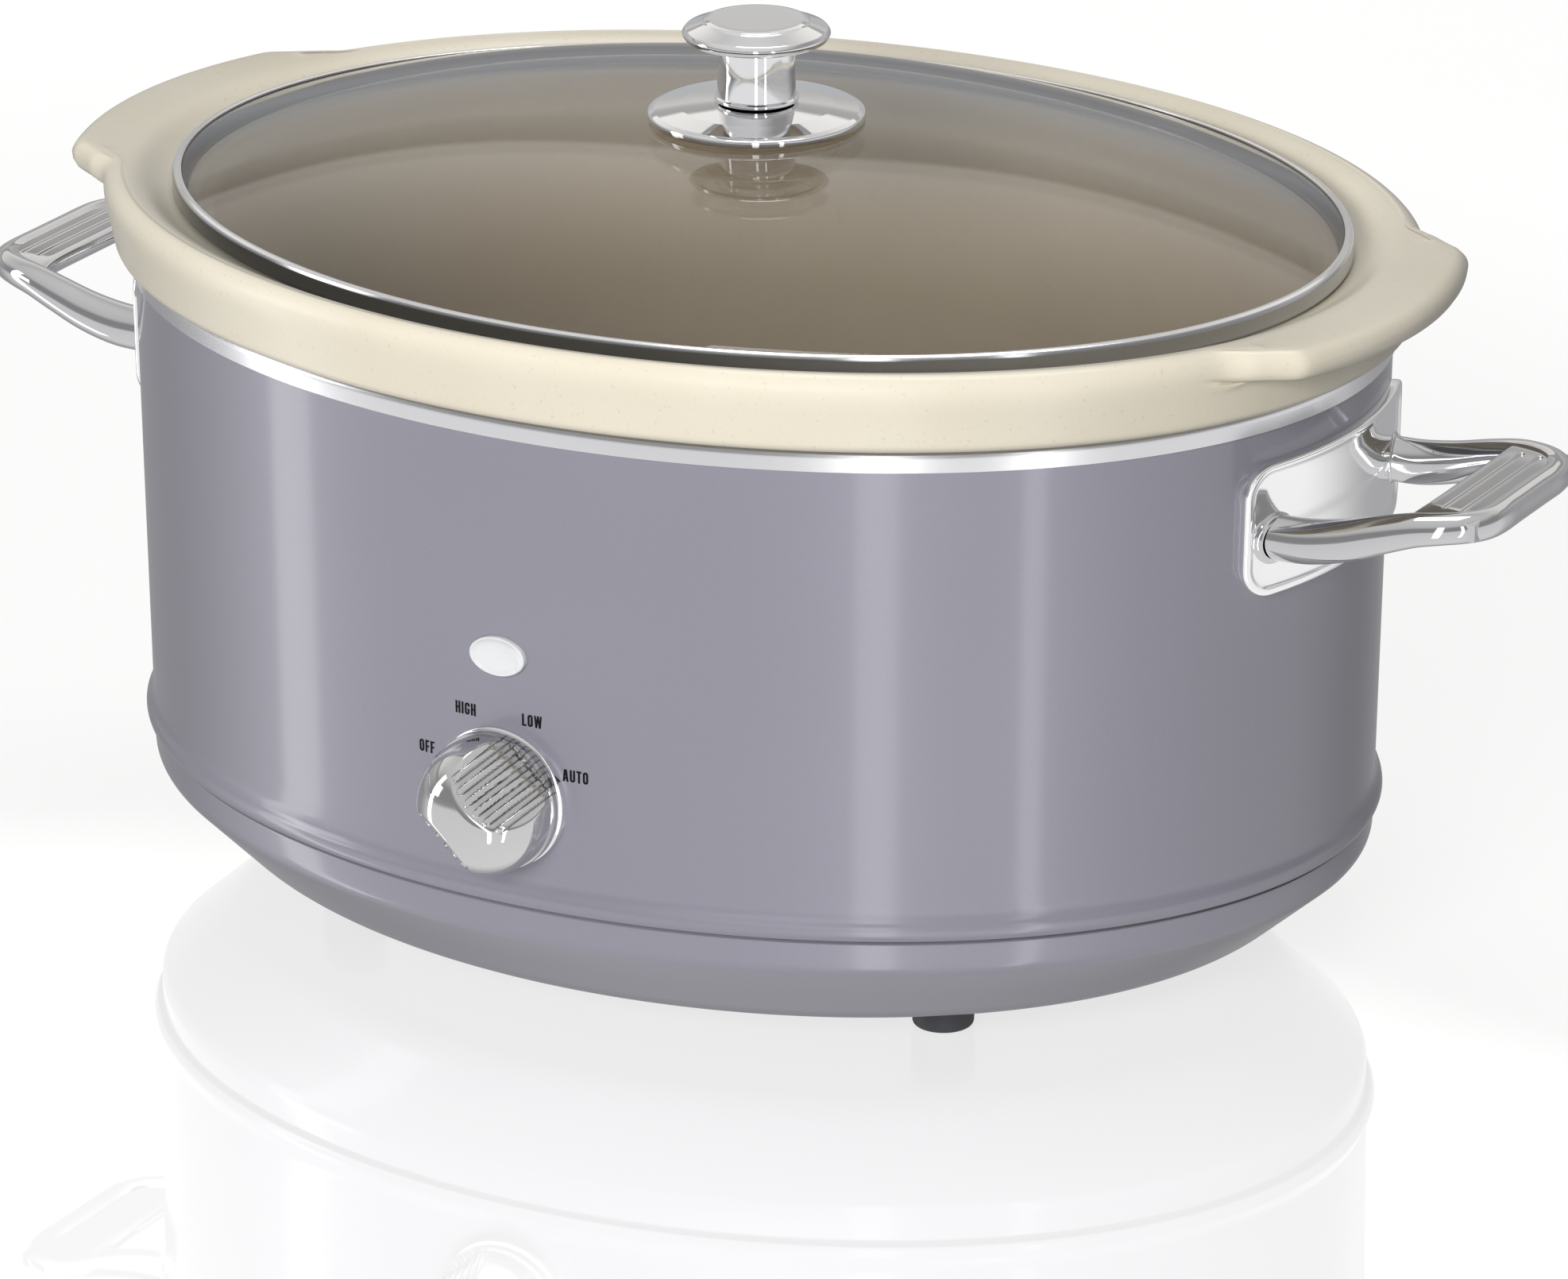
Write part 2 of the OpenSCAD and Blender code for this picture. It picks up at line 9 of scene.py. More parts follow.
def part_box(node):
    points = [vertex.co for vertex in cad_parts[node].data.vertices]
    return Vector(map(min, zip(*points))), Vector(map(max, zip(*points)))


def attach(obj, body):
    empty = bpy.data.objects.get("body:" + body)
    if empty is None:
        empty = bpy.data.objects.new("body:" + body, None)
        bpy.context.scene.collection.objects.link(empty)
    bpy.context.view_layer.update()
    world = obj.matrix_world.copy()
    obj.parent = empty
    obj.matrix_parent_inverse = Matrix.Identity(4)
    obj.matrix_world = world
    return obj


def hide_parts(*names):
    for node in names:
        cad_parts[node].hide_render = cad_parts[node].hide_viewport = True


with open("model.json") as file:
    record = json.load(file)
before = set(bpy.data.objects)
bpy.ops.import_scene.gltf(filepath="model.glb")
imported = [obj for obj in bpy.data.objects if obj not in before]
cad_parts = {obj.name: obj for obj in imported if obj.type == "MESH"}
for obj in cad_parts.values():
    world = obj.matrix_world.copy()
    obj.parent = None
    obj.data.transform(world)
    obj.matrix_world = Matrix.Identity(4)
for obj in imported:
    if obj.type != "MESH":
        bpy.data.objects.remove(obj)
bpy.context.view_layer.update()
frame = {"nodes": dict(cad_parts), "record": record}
scene = bpy.context.scene
scene.view_settings.view_transform = "Standard"
scene.view_settings.look = "None"

MM = 0.001


# ---- small helpers

def arc(cx, cy, r, a0, a1, n=8):
    """Points on a circle's arc, angles in degrees."""
    return [(cx + r * math.cos(math.radians(a0 + (a1 - a0) * i / n)),
             cy + r * math.sin(math.radians(a0 + (a1 - a0) * i / n))) for i in range(n + 1)]


def fillet(corners, closed=True, n=6):
    """Polyline through the corners (x, y) or (x, y, radius), rounded where a radius is given."""
    out, count = [], len(corners)
    for i, c in enumerate(corners):
        p = np.array(c[:2], float)
        r = c[2] if len(c) > 2 else 0
        if r <= 0 or (not closed and i in (0, count - 1)):
            out.append(tuple(float(v) for v in p))
            continue
        a = np.array(corners[i - 1][:2], float) - p
        b = np.array(corners[(i + 1) % count][:2], float) - p
        la, lb = np.linalg.norm(a), np.linalg.norm(b)
        a, b = a / la, b / lb
        half = math.acos(max(-1.0, min(1.0, float(a @ b)))) / 2
        if half > math.pi / 2 - 0.01:
            out.append(tuple(float(v) for v in p))
            continue
        reach = min(r / math.tan(half), la * 0.49, lb * 0.49)
        r = reach * math.tan(half)
        centre = p + (a + b) / np.linalg.norm(a + b) * (r / math.sin(half))
        s, e = p + a * reach - centre, p + b * reach - centre
        turn = math.atan2(s[0] * e[1] - s[1] * e[0], float(s @ e))
        for k in range(n + 1):
            ct, st = math.cos(turn * k / n), math.sin(turn * k / n)
            out.append((float(centre[0] + ct * s[0] - st * s[1]), float(centre[1] + st * s[0] + ct * s[1])))
    return out


def ease(a, b, v):
    t = min(1.0, max(0.0, (v - a) / (b - a)))
    return t * t * (3 - 2 * t)


def dense(points, step, closed=False):
    """Adds points along straight runs longer than step."""
    out = []
    pairs = list(zip(points, points[1:] + points[:1])) if closed else list(zip(points, points[1:]))
    for a, b in pairs:
        n = max(1, int(math.dist(a, b) / step))
        out += [tuple(a[k] + (b[k] - a[k]) * i / n for k in range(len(a))) for i in range(n)]
    return out if closed else out + [points[-1]]


def circle(n):
    """Cosine and sine of n even steps round a circle."""
    return [(math.cos(2 * math.pi * k / n), math.sin(2 * math.pi * k / n)) for k in range(n)]


def middle(box, axis):
    """Middle of a box along an axis, in millimetres."""
    low, high = box
    return (getattr(low, axis) + getattr(high, axis)) / 2 / MM


def revolve(profile, seg, ratio=1.0, closed=True):
    """Vertices and faces of a profile (radius, height) turned about Z, narrowed across Y."""
    verts, rows = [], []
    for r, z in profile:
        if r < 1e-6:
            rows.append([len(verts)])
            verts.append((0, 0, z))
            continue
        rows.append(list(range(len(verts), len(verts) + seg)))
        verts += [(r * c, ratio * r * s, z) for c, s in circle(seg)]
    faces = []
    pairs = list(zip(rows, rows[1:] + rows[:1])) if closed else list(zip(rows, rows[1:]))
    for a, b in pairs:
        for k in range(seg):
            m = (k + 1) % seg
            if len(a) == 1 and len(b) == 1:
                continue
            if len(a) == 1:
                faces.append((a[0], b[m], b[k]))
            elif len(b) == 1:
                faces.append((a[k], a[m], b[0]))
            else:
                faces.append((a[k], a[m], b[m], b[k]))
    return verts, faces


def grid_faces(rows, cols, wrap_rows=False, wrap_cols=True):
    """Four-sided faces between rows of points laid one after another."""
    faces = []
    for i in range(rows if wrap_rows else rows - 1):
        for k in range(cols if wrap_cols else cols - 1):
            i2, k2 = (i + 1) % rows, (k + 1) % cols
            faces.append((i * cols + k, i * cols + k2, i2 * cols + k2, i2 * cols + k))
    return faces


def piece(name, verts, faces, material, body, nodes=(), slot=None, sharp=32, place=None):
    """Makes a closed, smooth-shaded mesh object from millimetre points, riding on a body."""
    mesh = bpy.data.meshes.new(name)
    mesh.from_pydata([Vector(v) * MM for v in verts], [], faces)
    bm = bmesh.new()
    bm.from_mesh(mesh)
    bmesh.ops.remove_doubles(bm, verts=bm.verts, dist=1e-7)
    bmesh.ops.recalc_face_normals(bm, faces=bm.faces)
    if place is not None:
        bm.transform(place)
    bm.to_mesh(mesh)
    bm.free()
    mesh.shade_smooth()
    mesh.set_sharp_from_angle(angle=math.radians(sharp))
    obj = bpy.data.objects.new(name, mesh)
    scene.collection.objects.link(obj)
    obj.data.materials.append(material)
    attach(obj, body)
    if nodes:
        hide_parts(*nodes)
    return obj


def join_meshes(parts):
    """Joins (verts, faces) lists into one."""
    verts, faces = [], []
    for v, f in parts:
        base = len(verts)
        verts += list(v)
        faces += [tuple(i + base for i in q) for q in f]
    return verts, faces


# ---- materials

def math_node(tree, kind, *values):
    """Adds a math node; each value is a number or a socket to link from."""
    node = tree.nodes.new("ShaderNodeMath")
    node.operation = kind
    for socket, value in zip(node.inputs, values):
        if isinstance(value, (int, float)):
            socket.default_value = value
        else:
            tree.links.new(value, socket)
    return node.outputs[0]


def set_stops(ramp, stops):
    """Gives a colour ramp node its (position, colour) stops."""
    elements = ramp.color_ramp.elements
    elements[0].position, elements[-1].position = 0.0, 1.0
    while len(elements) < len(stops):
        elements.new(0.5)
    for element, (pos, colour) in zip(elements, stops):
        element.position, element.color = pos, (*colour, 1)


class Nodes:
    """Short way to write a node material."""

    def __init__(self, name):
        self.material = bpy.data.materials.new(name)
        self.material.use_nodes = True
        self.tree = self.material.node_tree
        self.shader = self.tree.nodes["Principled BSDF"]
        self.out = self.tree.nodes["Material Output"]
        self.coord = self.add("ShaderNodeTexCoord").outputs["Object"]

    def add(self, kind, **sockets):
        node = self.tree.nodes.new(kind)
        for key, value in sockets.items():
            node.inputs[key.replace("_", " ")].default_value = value
        return node

    def link(self, a, b):
        self.tree.links.new(a, b)

    def stretched(self, scale):
        node = self.add("ShaderNodeMapping")
        node.inputs["Scale"].default_value = scale
        self.link(self.coord, node.inputs["Vector"])
        return node.outputs["Vector"]

    def noise(self, scale, detail=2.0, rough=0.5, vector=None):
        node = self.add("ShaderNodeTexNoise", Scale=scale, Detail=detail, Roughness=rough)
        self.link(vector or self.coord, node.inputs["Vector"])
        return node.outputs["Fac"]

    def ramp(self, value, stops):
        node = self.add("ShaderNodeValToRGB")
        set_stops(node, stops)
        self.link(value, node.inputs["Fac"])
        return node.outputs["Color"]

    def span(self, value, low, high, start=0.0, end=1.0):
        """Maps a value running from start to end onto low to high."""
        node = self.add("ShaderNodeMapRange", From_Min=start, From_Max=end, To_Min=low, To_Max=high)
        self.link(value, node.inputs["Value"])
        return node.outputs["Result"]

    def math(self, kind, *values):
        return math_node(self.tree, kind, *values)

    def vector(self, kind, value, constant):
        node = self.add("ShaderNodeVectorMath")
        node.operation = kind
        self.link(value, node.inputs[0])
        node.inputs[1].default_value = constant
        return node

    def blend(self, factor, a, b, kind="MIX"):
        """Mixes two colours; each input is a value or a socket to link from."""
        node = self.add("ShaderNodeMix")
        node.data_type, node.blend_type = "RGBA", kind
        for key, value in (("Factor", factor), ("A", a), ("B", b)):
            self.feed(value, node.inputs[key])
        return node.outputs["Result"]

    def bump(self, height, strength, distance=0.0002, after=None):
        node = self.add("ShaderNodeBump", Strength=strength, Distance=distance)
        self.link(height, node.inputs["Height"])
        if after is not None:
            self.link(after, node.inputs["Normal"])
        return node.outputs["Normal"]

    def feed(self, value, socket):
        """Links from a socket, or sets a plain value."""
        if hasattr(value, "is_linked"):
            self.link(value, socket)
        else:
            socket.default_value = value

    def set(self, **sockets):
        for key, value in sockets.items():
            self.feed(value, self.shader.inputs[key.replace("_", " ")])


def tint(colour, k):
    return tuple(min(1.0, c * k) for c in colour)


def plain(name, colour, metallic=0.0, rough=0.5, vary=0.06, grain=60.0, bump=0.05, **more):
    """A base finish with slight mottling, uneven gloss and a fine bump."""
    m = Nodes(name)
    large, fine = m.noise(grain, 3.0), m.noise(grain * 18, 2.0)
    m.set(Base_Color=m.ramp(large, [(0.3, tint(colour, 1 - vary)), (0.7, tint(colour, 1 + vary))]),
          Roughness=m.span(large, max(0.02, rough * 0.85), min(1.0, rough * 1.15)),
          Normal=m.bump(fine, bump), Metallic=metallic, **more)
    return m.material


def brushed(name, colour, rough, around=False, strength=0.06):
    """Bright metal with very fine lines, along the oval or straight."""
    m = Nodes(name)
    lines = m.noise(400.0, 3.0, 0.6, m.stretched((1, 1, 30) if around else (1, 30, 30)))
    soft = m.noise(9.0, 2.0)
    m.set(Base_Color=m.ramp(soft, [(0.3, tint(colour, 0.96)), (0.7, tint(colour, 1.02))]),
          Roughness=m.span(lines, rough * 0.8, rough * 1.25), Metallic=1.0,
          Normal=m.bump(lines, strength, 0.00005))
    return m.material


def plating(m, colour, rough, shade=None):
    """Polished plating, darkened by a painted shade colour where one is given."""
    haze, wave = m.noise(35.0, 3.0), m.noise(22.0, 1.0)
    base = m.ramp(haze, [(0.35, tint(colour, 0.97)), (0.65, colour)])
    m.set(Base_Color=base if shade is None else m.blend(1.0, base, shade, "MULTIPLY"), Metallic=1.0,
          Roughness=m.span(haze, rough * 0.7, rough * 1.5), Normal=m.bump(wave, 0.06, 0.0006))
    return m


def chrome(name, colour=(0.86, 0.86, 0.87), rough=0.05):
    """Polished plating with faint waviness and a little polishing haze."""
    return plating(Nodes(name), colour, rough).material


RIB_PITCH, RIB_SHIFT = 3.4, 1.7   # spacing of the knob's finger ribs, and how far they are set off its middle


def finger_metal(name, colour, rough, centre, angle):
    """Polished plating with painted shade along the sides of the knob's finger ribs."""
    m = Nodes(name)
    c, s = math.cos(angle), math.sin(angle)
    local = m.vector("SUBTRACT", m.coord, centre).outputs["Vector"]
    across = m.vector("DOT_PRODUCT", local, (c, 0, s)).outputs["Value"]
    along_bar = m.vector("DOT_PRODUCT", local, (-s, 0, c)).outputs["Value"]
    shifted = m.math("SUBTRACT", along_bar, RIB_SHIFT * MM)
    turns = m.math("MULTIPLY", shifted, 2 * math.pi / (RIB_PITCH * MM))
    # painted shade: a dark stripe down each flank of every finger rib
    rib_flank_shade = m.ramp(m.span(m.math("COSINE", turns), 0.0, 1.0, -1.0, 1.0), [
        (0.0, (0.9, 0.9, 0.9)), (0.34, (0.55, 0.55, 0.55)), (0.5, (0.12, 0.12, 0.12)),
        (0.64, (0.95, 0.95, 0.95)), (1.0, (1, 1, 1))])
    on_flank = m.ramp(m.math("MULTIPLY", m.math("ABSOLUTE", across), 100.0),
                      [(0.66, (0, 0, 0)), (0.80, (1, 1, 1))])
    in_row = m.ramp(m.math("MULTIPLY", m.math("ABSOLUTE", along_bar), 80.0),
                    [(0.76, (1, 1, 1)), (0.79, (0, 0, 0))])
    shade = m.blend(m.math("MULTIPLY", on_flank, in_row), (1, 1, 1, 1), rib_flank_shade)
    return plating(m, colour, rough, shade).material


def band_steel(name, edge_mm):
    """Lid band: polished lip above the given height; on the wall below it, painted shade and reflection: dark
    steel on the left, lightening to grey towards the right.
    """
    m = Nodes(name)
    split = m.add("ShaderNodeSeparateXYZ")
    m.link(m.coord, split.inputs["Vector"])
    height = m.span(split.outputs["Z"], 0.0, 1.0, (edge_mm - 0.5) * MM, (edge_mm + 0.3) * MM)
    # painted shade on the band's wall: darkest on the left, a painted lighter grey reflection towards the
    # right
    side = m.span(split.outputs["X"], 0.0, 1.0, -0.12, 0.16)
    wall_painted_shade = m.ramp(side, [(0.0, (0.10, 0.10, 0.105)), (0.6, (0.17, 0.17, 0.175)), (1.0, (0.42, 0.42, 0.43))])
    lip = m.ramp(m.noise(30.0, 2.0), [(0.3, (0.80, 0.80, 0.81)), (0.7, (0.86, 0.86, 0.87))])
    lines = m.noise(300.0, 2.0, 0.6, m.stretched((1, 1, 24)))
    m.set(Base_Color=m.blend(height, wall_painted_shade, lip), Metallic=1.0, Roughness=m.span(lines, 0.10, 0.18),
          Normal=m.bump(lines, 0.05, 0.00005))
    return m.material


def paint(name, colour):
    """Gloss paint on sheet steel: a fine orange peel, soft base gloss and a clear coat."""
    m = Nodes(name)
    cloud, peel, fleck = m.noise(7.0, 2.0), m.noise(620.0, 2.0), m.noise(2600.0, 1.0)
    base = m.ramp(cloud, [(0.3, tint(colour, 0.97)), (0.7, tint(colour, 1.03))])
    flecks = m.ramp(fleck, [(0.35, (0.86, 0.86, 0.86)), (0.65, (1, 1, 1))])
    m.set(Base_Color=m.blend(0.25, base, flecks, "MULTIPLY"), Metallic=0.25, Coat_Weight=0.8,
          Coat_Roughness=0.11, Coat_IOR=1.5, Roughness=m.span(cloud, 0.33, 0.39),
          Normal=m.bump(peel, 0.05, 0.0001))
    return m.material


def glaze(name):
    """Cream stoneware glaze: slight mottling, a few pinholes and a soft uneven gloss."""
    m = Nodes(name)
    cloud, dapple, pits = m.noise(14.0, 3.0), m.noise(130.0, 2.0), m.noise(900.0, 1.0)
    base = m.ramp(cloud, [(0.3, (0.675, 0.617, 0.495)), (0.7, (0.73, 0.677, 0.555))])
    pinholes = m.ramp(pits, [(0.22, (0.8, 0.76, 0.68)), (0.34, (1, 1, 1))])
    m.set(Base_Color=m.blend(0.5, base, pinholes, "MULTIPLY"), Roughness=m.span(dapple, 0.3, 0.42),
          Coat_Weight=0.25, Coat_Roughness=0.22, Specular_IOR_Level=0.42,
          Normal=m.bump(pits, 0.06, 0.0001, m.bump(dapple, 0.10, 0.0004)))
    return m.material


def clear_glass(name, colour):
    """Clear pane: tinted see-through film with a mirror-like Fresnel reflection."""
    m = Nodes(name)
    see = m.add("ShaderNodeBsdfTransparent")
    m.link(m.ramp(m.noise(5.0, 1.0), [(0.3, tint(colour, 0.985)), (0.7, colour)]), see.inputs["Color"])
    gloss = m.add("ShaderNodeBsdfGlossy", Color=(1, 1, 1, 1))
    m.link(m.span(m.noise(60.0, 2.0), 0.004, 0.014), gloss.inputs["Roughness"])
    wave = m.bump(m.noise(16.0, 1.0), 0.025, 0.0005)
    m.link(wave, gloss.inputs["Normal"])
    facing = m.add("ShaderNodeLayerWeight", Blend=0.5)
    m.link(wave, facing.inputs["Normal"])
    share = m.math("MULTIPLY_ADD", m.math("POWER", facing.outputs["Facing"], 5.0), 0.96, 0.04)
    mix = m.add("ShaderNodeMixShader")
    m.link(share, mix.inputs["Fac"])
    m.link(see.outputs["BSDF"], mix.inputs[1])
    m.link(gloss.outputs["BSDF"], mix.inputs[2])
    m.link(mix.outputs["Shader"], m.out.inputs["Surface"])
    m.tree.nodes.remove(m.shader)
    return m.material


shell_paint = paint("shell_paint", (0.250, 0.241, 0.288))
pan_paint = paint("pan_paint", (0.255, 0.245, 0.294))
stoneware = glaze("stoneware_glaze")
ring_steel = brushed("ring_steel", (0.78, 0.78, 0.79), 0.24, around=True, strength=0.02)
rim_steel = chrome("rim_steel_plain", (0.8, 0.8, 0.81), 0.09)
trim = chrome("bright_trim")
grip_metal = chrome("grip_metal", (0.64, 0.64, 0.65), 0.05)
plate_metal = chrome("plate_metal", (0.98, 0.98, 0.98), 0.06)
pane = clear_glass("lid_pane", (0.78, 0.76, 0.735))
rubber = plain("foot_rubber", (0.030, 0.032, 0.036), rough=0.55, vary=0.12, grain=200, bump=0.25)
black = plain("black_moulding", (0.02, 0.02, 0.022), rough=0.45, vary=0.1, grain=220, bump=0.2)
lens = plain("lens_plastic", (0.86, 0.87, 0.88), rough=0.16, vary=0.02, grain=90, bump=0.02,
             Transmission_Weight=0.25, Coat_Weight=0.6, Coat_Roughness=0.06)
ink = plain("dial_ink", (0.008, 0.008, 0.009), rough=0.6, vary=0.2, grain=500, bump=0.05,
            Specular_IOR_Level=0.12)

INNER = {
    "bright_sheet": ring_steel, "shell_paint": shell_paint, "pan_paint": pan_paint, "stoneware": stoneware,
    "bright_trim": trim, "rim_steel": rim_steel, "lid_glass": pane, "lens_plastic": lens,
    "foot_rubber": rubber, "black_moulding": black,
}
for name, colour, rough in (
        ("mica_band", (0.55, 0.5, 0.42), 0.4), ("plated_steel", (0.66, 0.66, 0.68), 0.3),
        ("contact_brass", (0.78, 0.62, 0.32), 0.28)):
    INNER[name] = brushed(name, colour, rough)
for name, colour, rough, more in (
        ("dark_moulding", (0.03, 0.03, 0.033), 0.6, {"bump": 0.15}),
        ("fuse_ceramic", (0.8, 0.77, 0.7), 0.7, {"bump": 0.2}),
        ("white_moulding", (0.8, 0.79, 0.75), 0.5, {"bump": 0.12}),
        ("lamp_glass", (0.85, 0.5, 0.35), 0.08, {"Transmission_Weight": 0.8}),
        ("wire_brown", (0.13, 0.06, 0.03), 0.4, {}), ("wire_blue", (0.05, 0.12, 0.42), 0.4, {}),
        ("wire_red", (0.42, 0.05, 0.04), 0.4, {}), ("wire_green", (0.12, 0.33, 0.06), 0.4, {}),
        ("clear_washer", (0.7, 0.7, 0.68), 0.35, {"Transmission_Weight": 0.4})):
    INNER[name] = plain(name, colour, rough=rough, **more)
for row in frame["record"]["subparts"]:
    node = frame["nodes"][row["node"]]
    node.data.materials.clear()
    node.data.materials.append(INNER[row["material_slot"]])


# ---- sizes from the frame

_, shell_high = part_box("outer_shell")
HALF = shell_high.x / MM                      # half-length of the casing at its top edge
OVAL = shell_high.y / shell_high.x            # width of every oval by its length
DIAL_Z = middle(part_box("switch_shaft"), "z")
LAMP_Z = middle(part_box("indicator_lens"), "z")
KNOB_FRONT = -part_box("control_knob")[0].y / MM
GRIP_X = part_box("handle_grip_right")[1].x / MM
TOP_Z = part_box("knob_cap")[1].z / MM
RIM_Z = 166.6                                 # top of the painted wall
WALL_LOW, WALL_LEAN = 50.0, 2.1               # foot of the wall, and how far it draws in down to there
SHEET = 0.9                                   # casing sheet thickness
LEG_Y, LEG_Z = 34.0, 138.0                    # where the handle legs meet the wall
POT_FOOT, POT_FLOOR = 29, 40                  # underside and inner floor of the pot
SEG = 384                                     # steps round every large oval


def wall_r(z):
    """Half-length of the casing's wall at a height."""
    return HALF - WALL_LEAN * (RIM_Z - z) / (RIM_Z - WALL_LOW)


def on_wall(y, z, lift=0.0, side=1):
    """Point on the casing's end wall at (y, z), lifted outwards."""
    r = wall_r(z)
    x = r * math.sqrt(max(0.0, 1 - (y / (OVAL * r)) ** 2))
    n = Vector((x / r ** 2, y / (OVAL * r) ** 2, 0)).normalized()
    return (side * (x + n.x * lift), y + n.y * lift, z)


def front_wall(x, z, lift=0.0):
    """Point on the casing's front wall at (x, z), lifted outwards."""
    r = wall_r(z)
    y = -OVAL * math.sqrt(r * r - x * x)
    n = Vector((x / r ** 2, y / (OVAL * r) ** 2, 0)).normalized()
    return (x + n.x * lift, y + n.y * lift, z)


# ---- casing, pan and well

def shell_side(t):
    """Outer face of the casing moved in by t, from the bead at its foot up."""
    return dense(arc(HALF - 3, 43.8, 3 - t, -50, 40, 10) + arc(HALF + 3.9, 49.6, 6 + t, 220, 181, 8)
                 + [(HALF - t, RIM_Z), (HALF - t, RIM_Z + 3.9)], 5)


shell_line = shell_side(0) + shell_side(SHEET)[::-1]
shell = piece("casing", *revolve(shell_line, SEG, OVAL), shell_paint, "base",
              ["outer_shell"], "shell_paint")


def cut_holes(obj, cutters):
    """Cuts round and oval holes given as (centre, direction, radius, squash in Z)."""
    for k, (centre, direction, r, squash) in enumerate(cutters):
        bm = bmesh.new()
        bmesh.ops.create_cone(bm, cap_ends=True, segments=64, radius1=r * MM, radius2=r * MM, depth=0.03)
        turn = Vector(direction).to_track_quat("Z", "Y").to_matrix().to_4x4()
        bm.transform(Matrix.Translation(Vector(centre) * MM) @ Matrix.Diagonal((1, 1, squash, 1)) @ turn)
        mesh = bpy.data.meshes.new("cutter")
        bm.to_mesh(mesh)
        bm.free()
        tool = bpy.data.objects.new("cutter", mesh)
        scene.collection.objects.link(tool)
        mod = obj.modifiers.new("hole", "BOOLEAN")
        mod.operation, mod.solver, mod.object = "DIFFERENCE", "EXACT", tool
        dg = bpy.context.evaluated_depsgraph_get()
        done = bpy.data.meshes.new_from_object(obj.evaluated_get(dg))
        obj.modifiers.clear()
        old, obj.data = obj.data, done
        done.name = old.name
        bpy.data.objects.remove(tool)
        bpy.data.meshes.remove(mesh)
        bpy.data.meshes.remove(old)
        obj.data.name = obj.name


cut_holes(shell, [
    ((0, -132, DIAL_Z), (0, 1, 0), 5.2, 1), ((0, -133, LAMP_Z), (0, 1, 0), 8.1, 0.65),
    ((0, 132, 66), (0, 1, 0), 6.2, 1)]
    + [((x, y, LEG_Z), (1, 0, 0), 2.4, 1) for x in (165, -165) for y in (LEG_Y, -LEG_Y)])

pan_line = fillet([
    (HALF - 3.6, 48.5), (HALF - 3.6, 40.7, 0.2), (HALF - 2.4, 40.1, 0.5), (HALF - 2.4, 34.7)], False)
pan_line += arc(HALF - 8.4, 34.7, 6, 0, -41, 8)[1:] + arc(HALF - 38, 35.5, 26, -49, -90, 12)
pan_line = dense(pan_line + [(96, 9.5), (0, 9.5)], 8)
pan_in = [(0, 10.5), (96, 10.5)] + arc(HALF - 38, 35.5, 25, -90, -49, 12)
pan_in += arc(HALF - 8.4, 34.7, 5, -41, 0, 8) + [(HALF - 3.4, 39.3), (HALF - 4.6, 40.3), (HALF - 4.6, 48.5)]
piece("pan", *revolve(pan_line + dense(pan_in, 8), SEG, OVAL), pan_paint, "base",
      ["base_pan"], "pan_paint")

POT_LOW, POT_HIGH = HALF - 32, HALF - 14


def pot_r(z):
    """Half-length of the pot's outer wall at a height."""
    return POT_LOW + (POT_HIGH - POT_LOW) * (z - 53) / 116


def well_line(t):
    """Inner face of the well moved out by t, from its floor up over the bright ring."""
    return ([(0, 27 - t)] + arc(pot_r(51) + 2.2 - 26, 53, 26 + t, -90, -9, 12)
            + [(pot_r(164) + 2.2 + t, 164), (HALF - 10.6 + t, 168.3 - 0.2 * t),
               (HALF - 8.5 + 0.7 * t, 171 - 0.6 * t), (HALF - 5.5, 172.3 - t)]
            + arc(HALF - 1.6, 169.8, 2.5 - t, 90, 0, 10) + [(HALF + 0.9 - t, RIM_Z)])


piece("well", *revolve(dense(well_line(0), 8) + dense(well_line(0.8), 8)[::-1], SEG, OVAL),
      ring_steel, "base", ["inner_liner"], "bright_sheet")


# ---- stoneware pot with lugs

LUG_OUT, RIM_OUT = 19.4, 8.2      # how far the lugs and the plain rim stand out past the casing
LIP = HALF + RIM_OUT


def lug_reach(deg):
    """How far the rim stands out past its plain edge at an angle, in the turned-oval sense."""
    a = abs((deg + 90) % 180 - 90)
    full = LUG_OUT - RIM_OUT
    mm_per_deg = 2.74
    s = (a - 17.6) * mm_per_deg
    r1, r2 = 7.0, 44.0
    cos_t = 1 - full / (r1 + r2)
    sin_t = math.sqrt(1 - cos_t * cos_t)
    if s <= 0:
        return full
    if s < r1 * sin_t:
        return full - (r1 - math.sqrt(r1 * r1 - s * s))
    rest = (r1 + r2) * sin_t - s
    return 0.0 if rest <= 0 else r2 - math.sqrt(r2 * r2 - rest * rest)


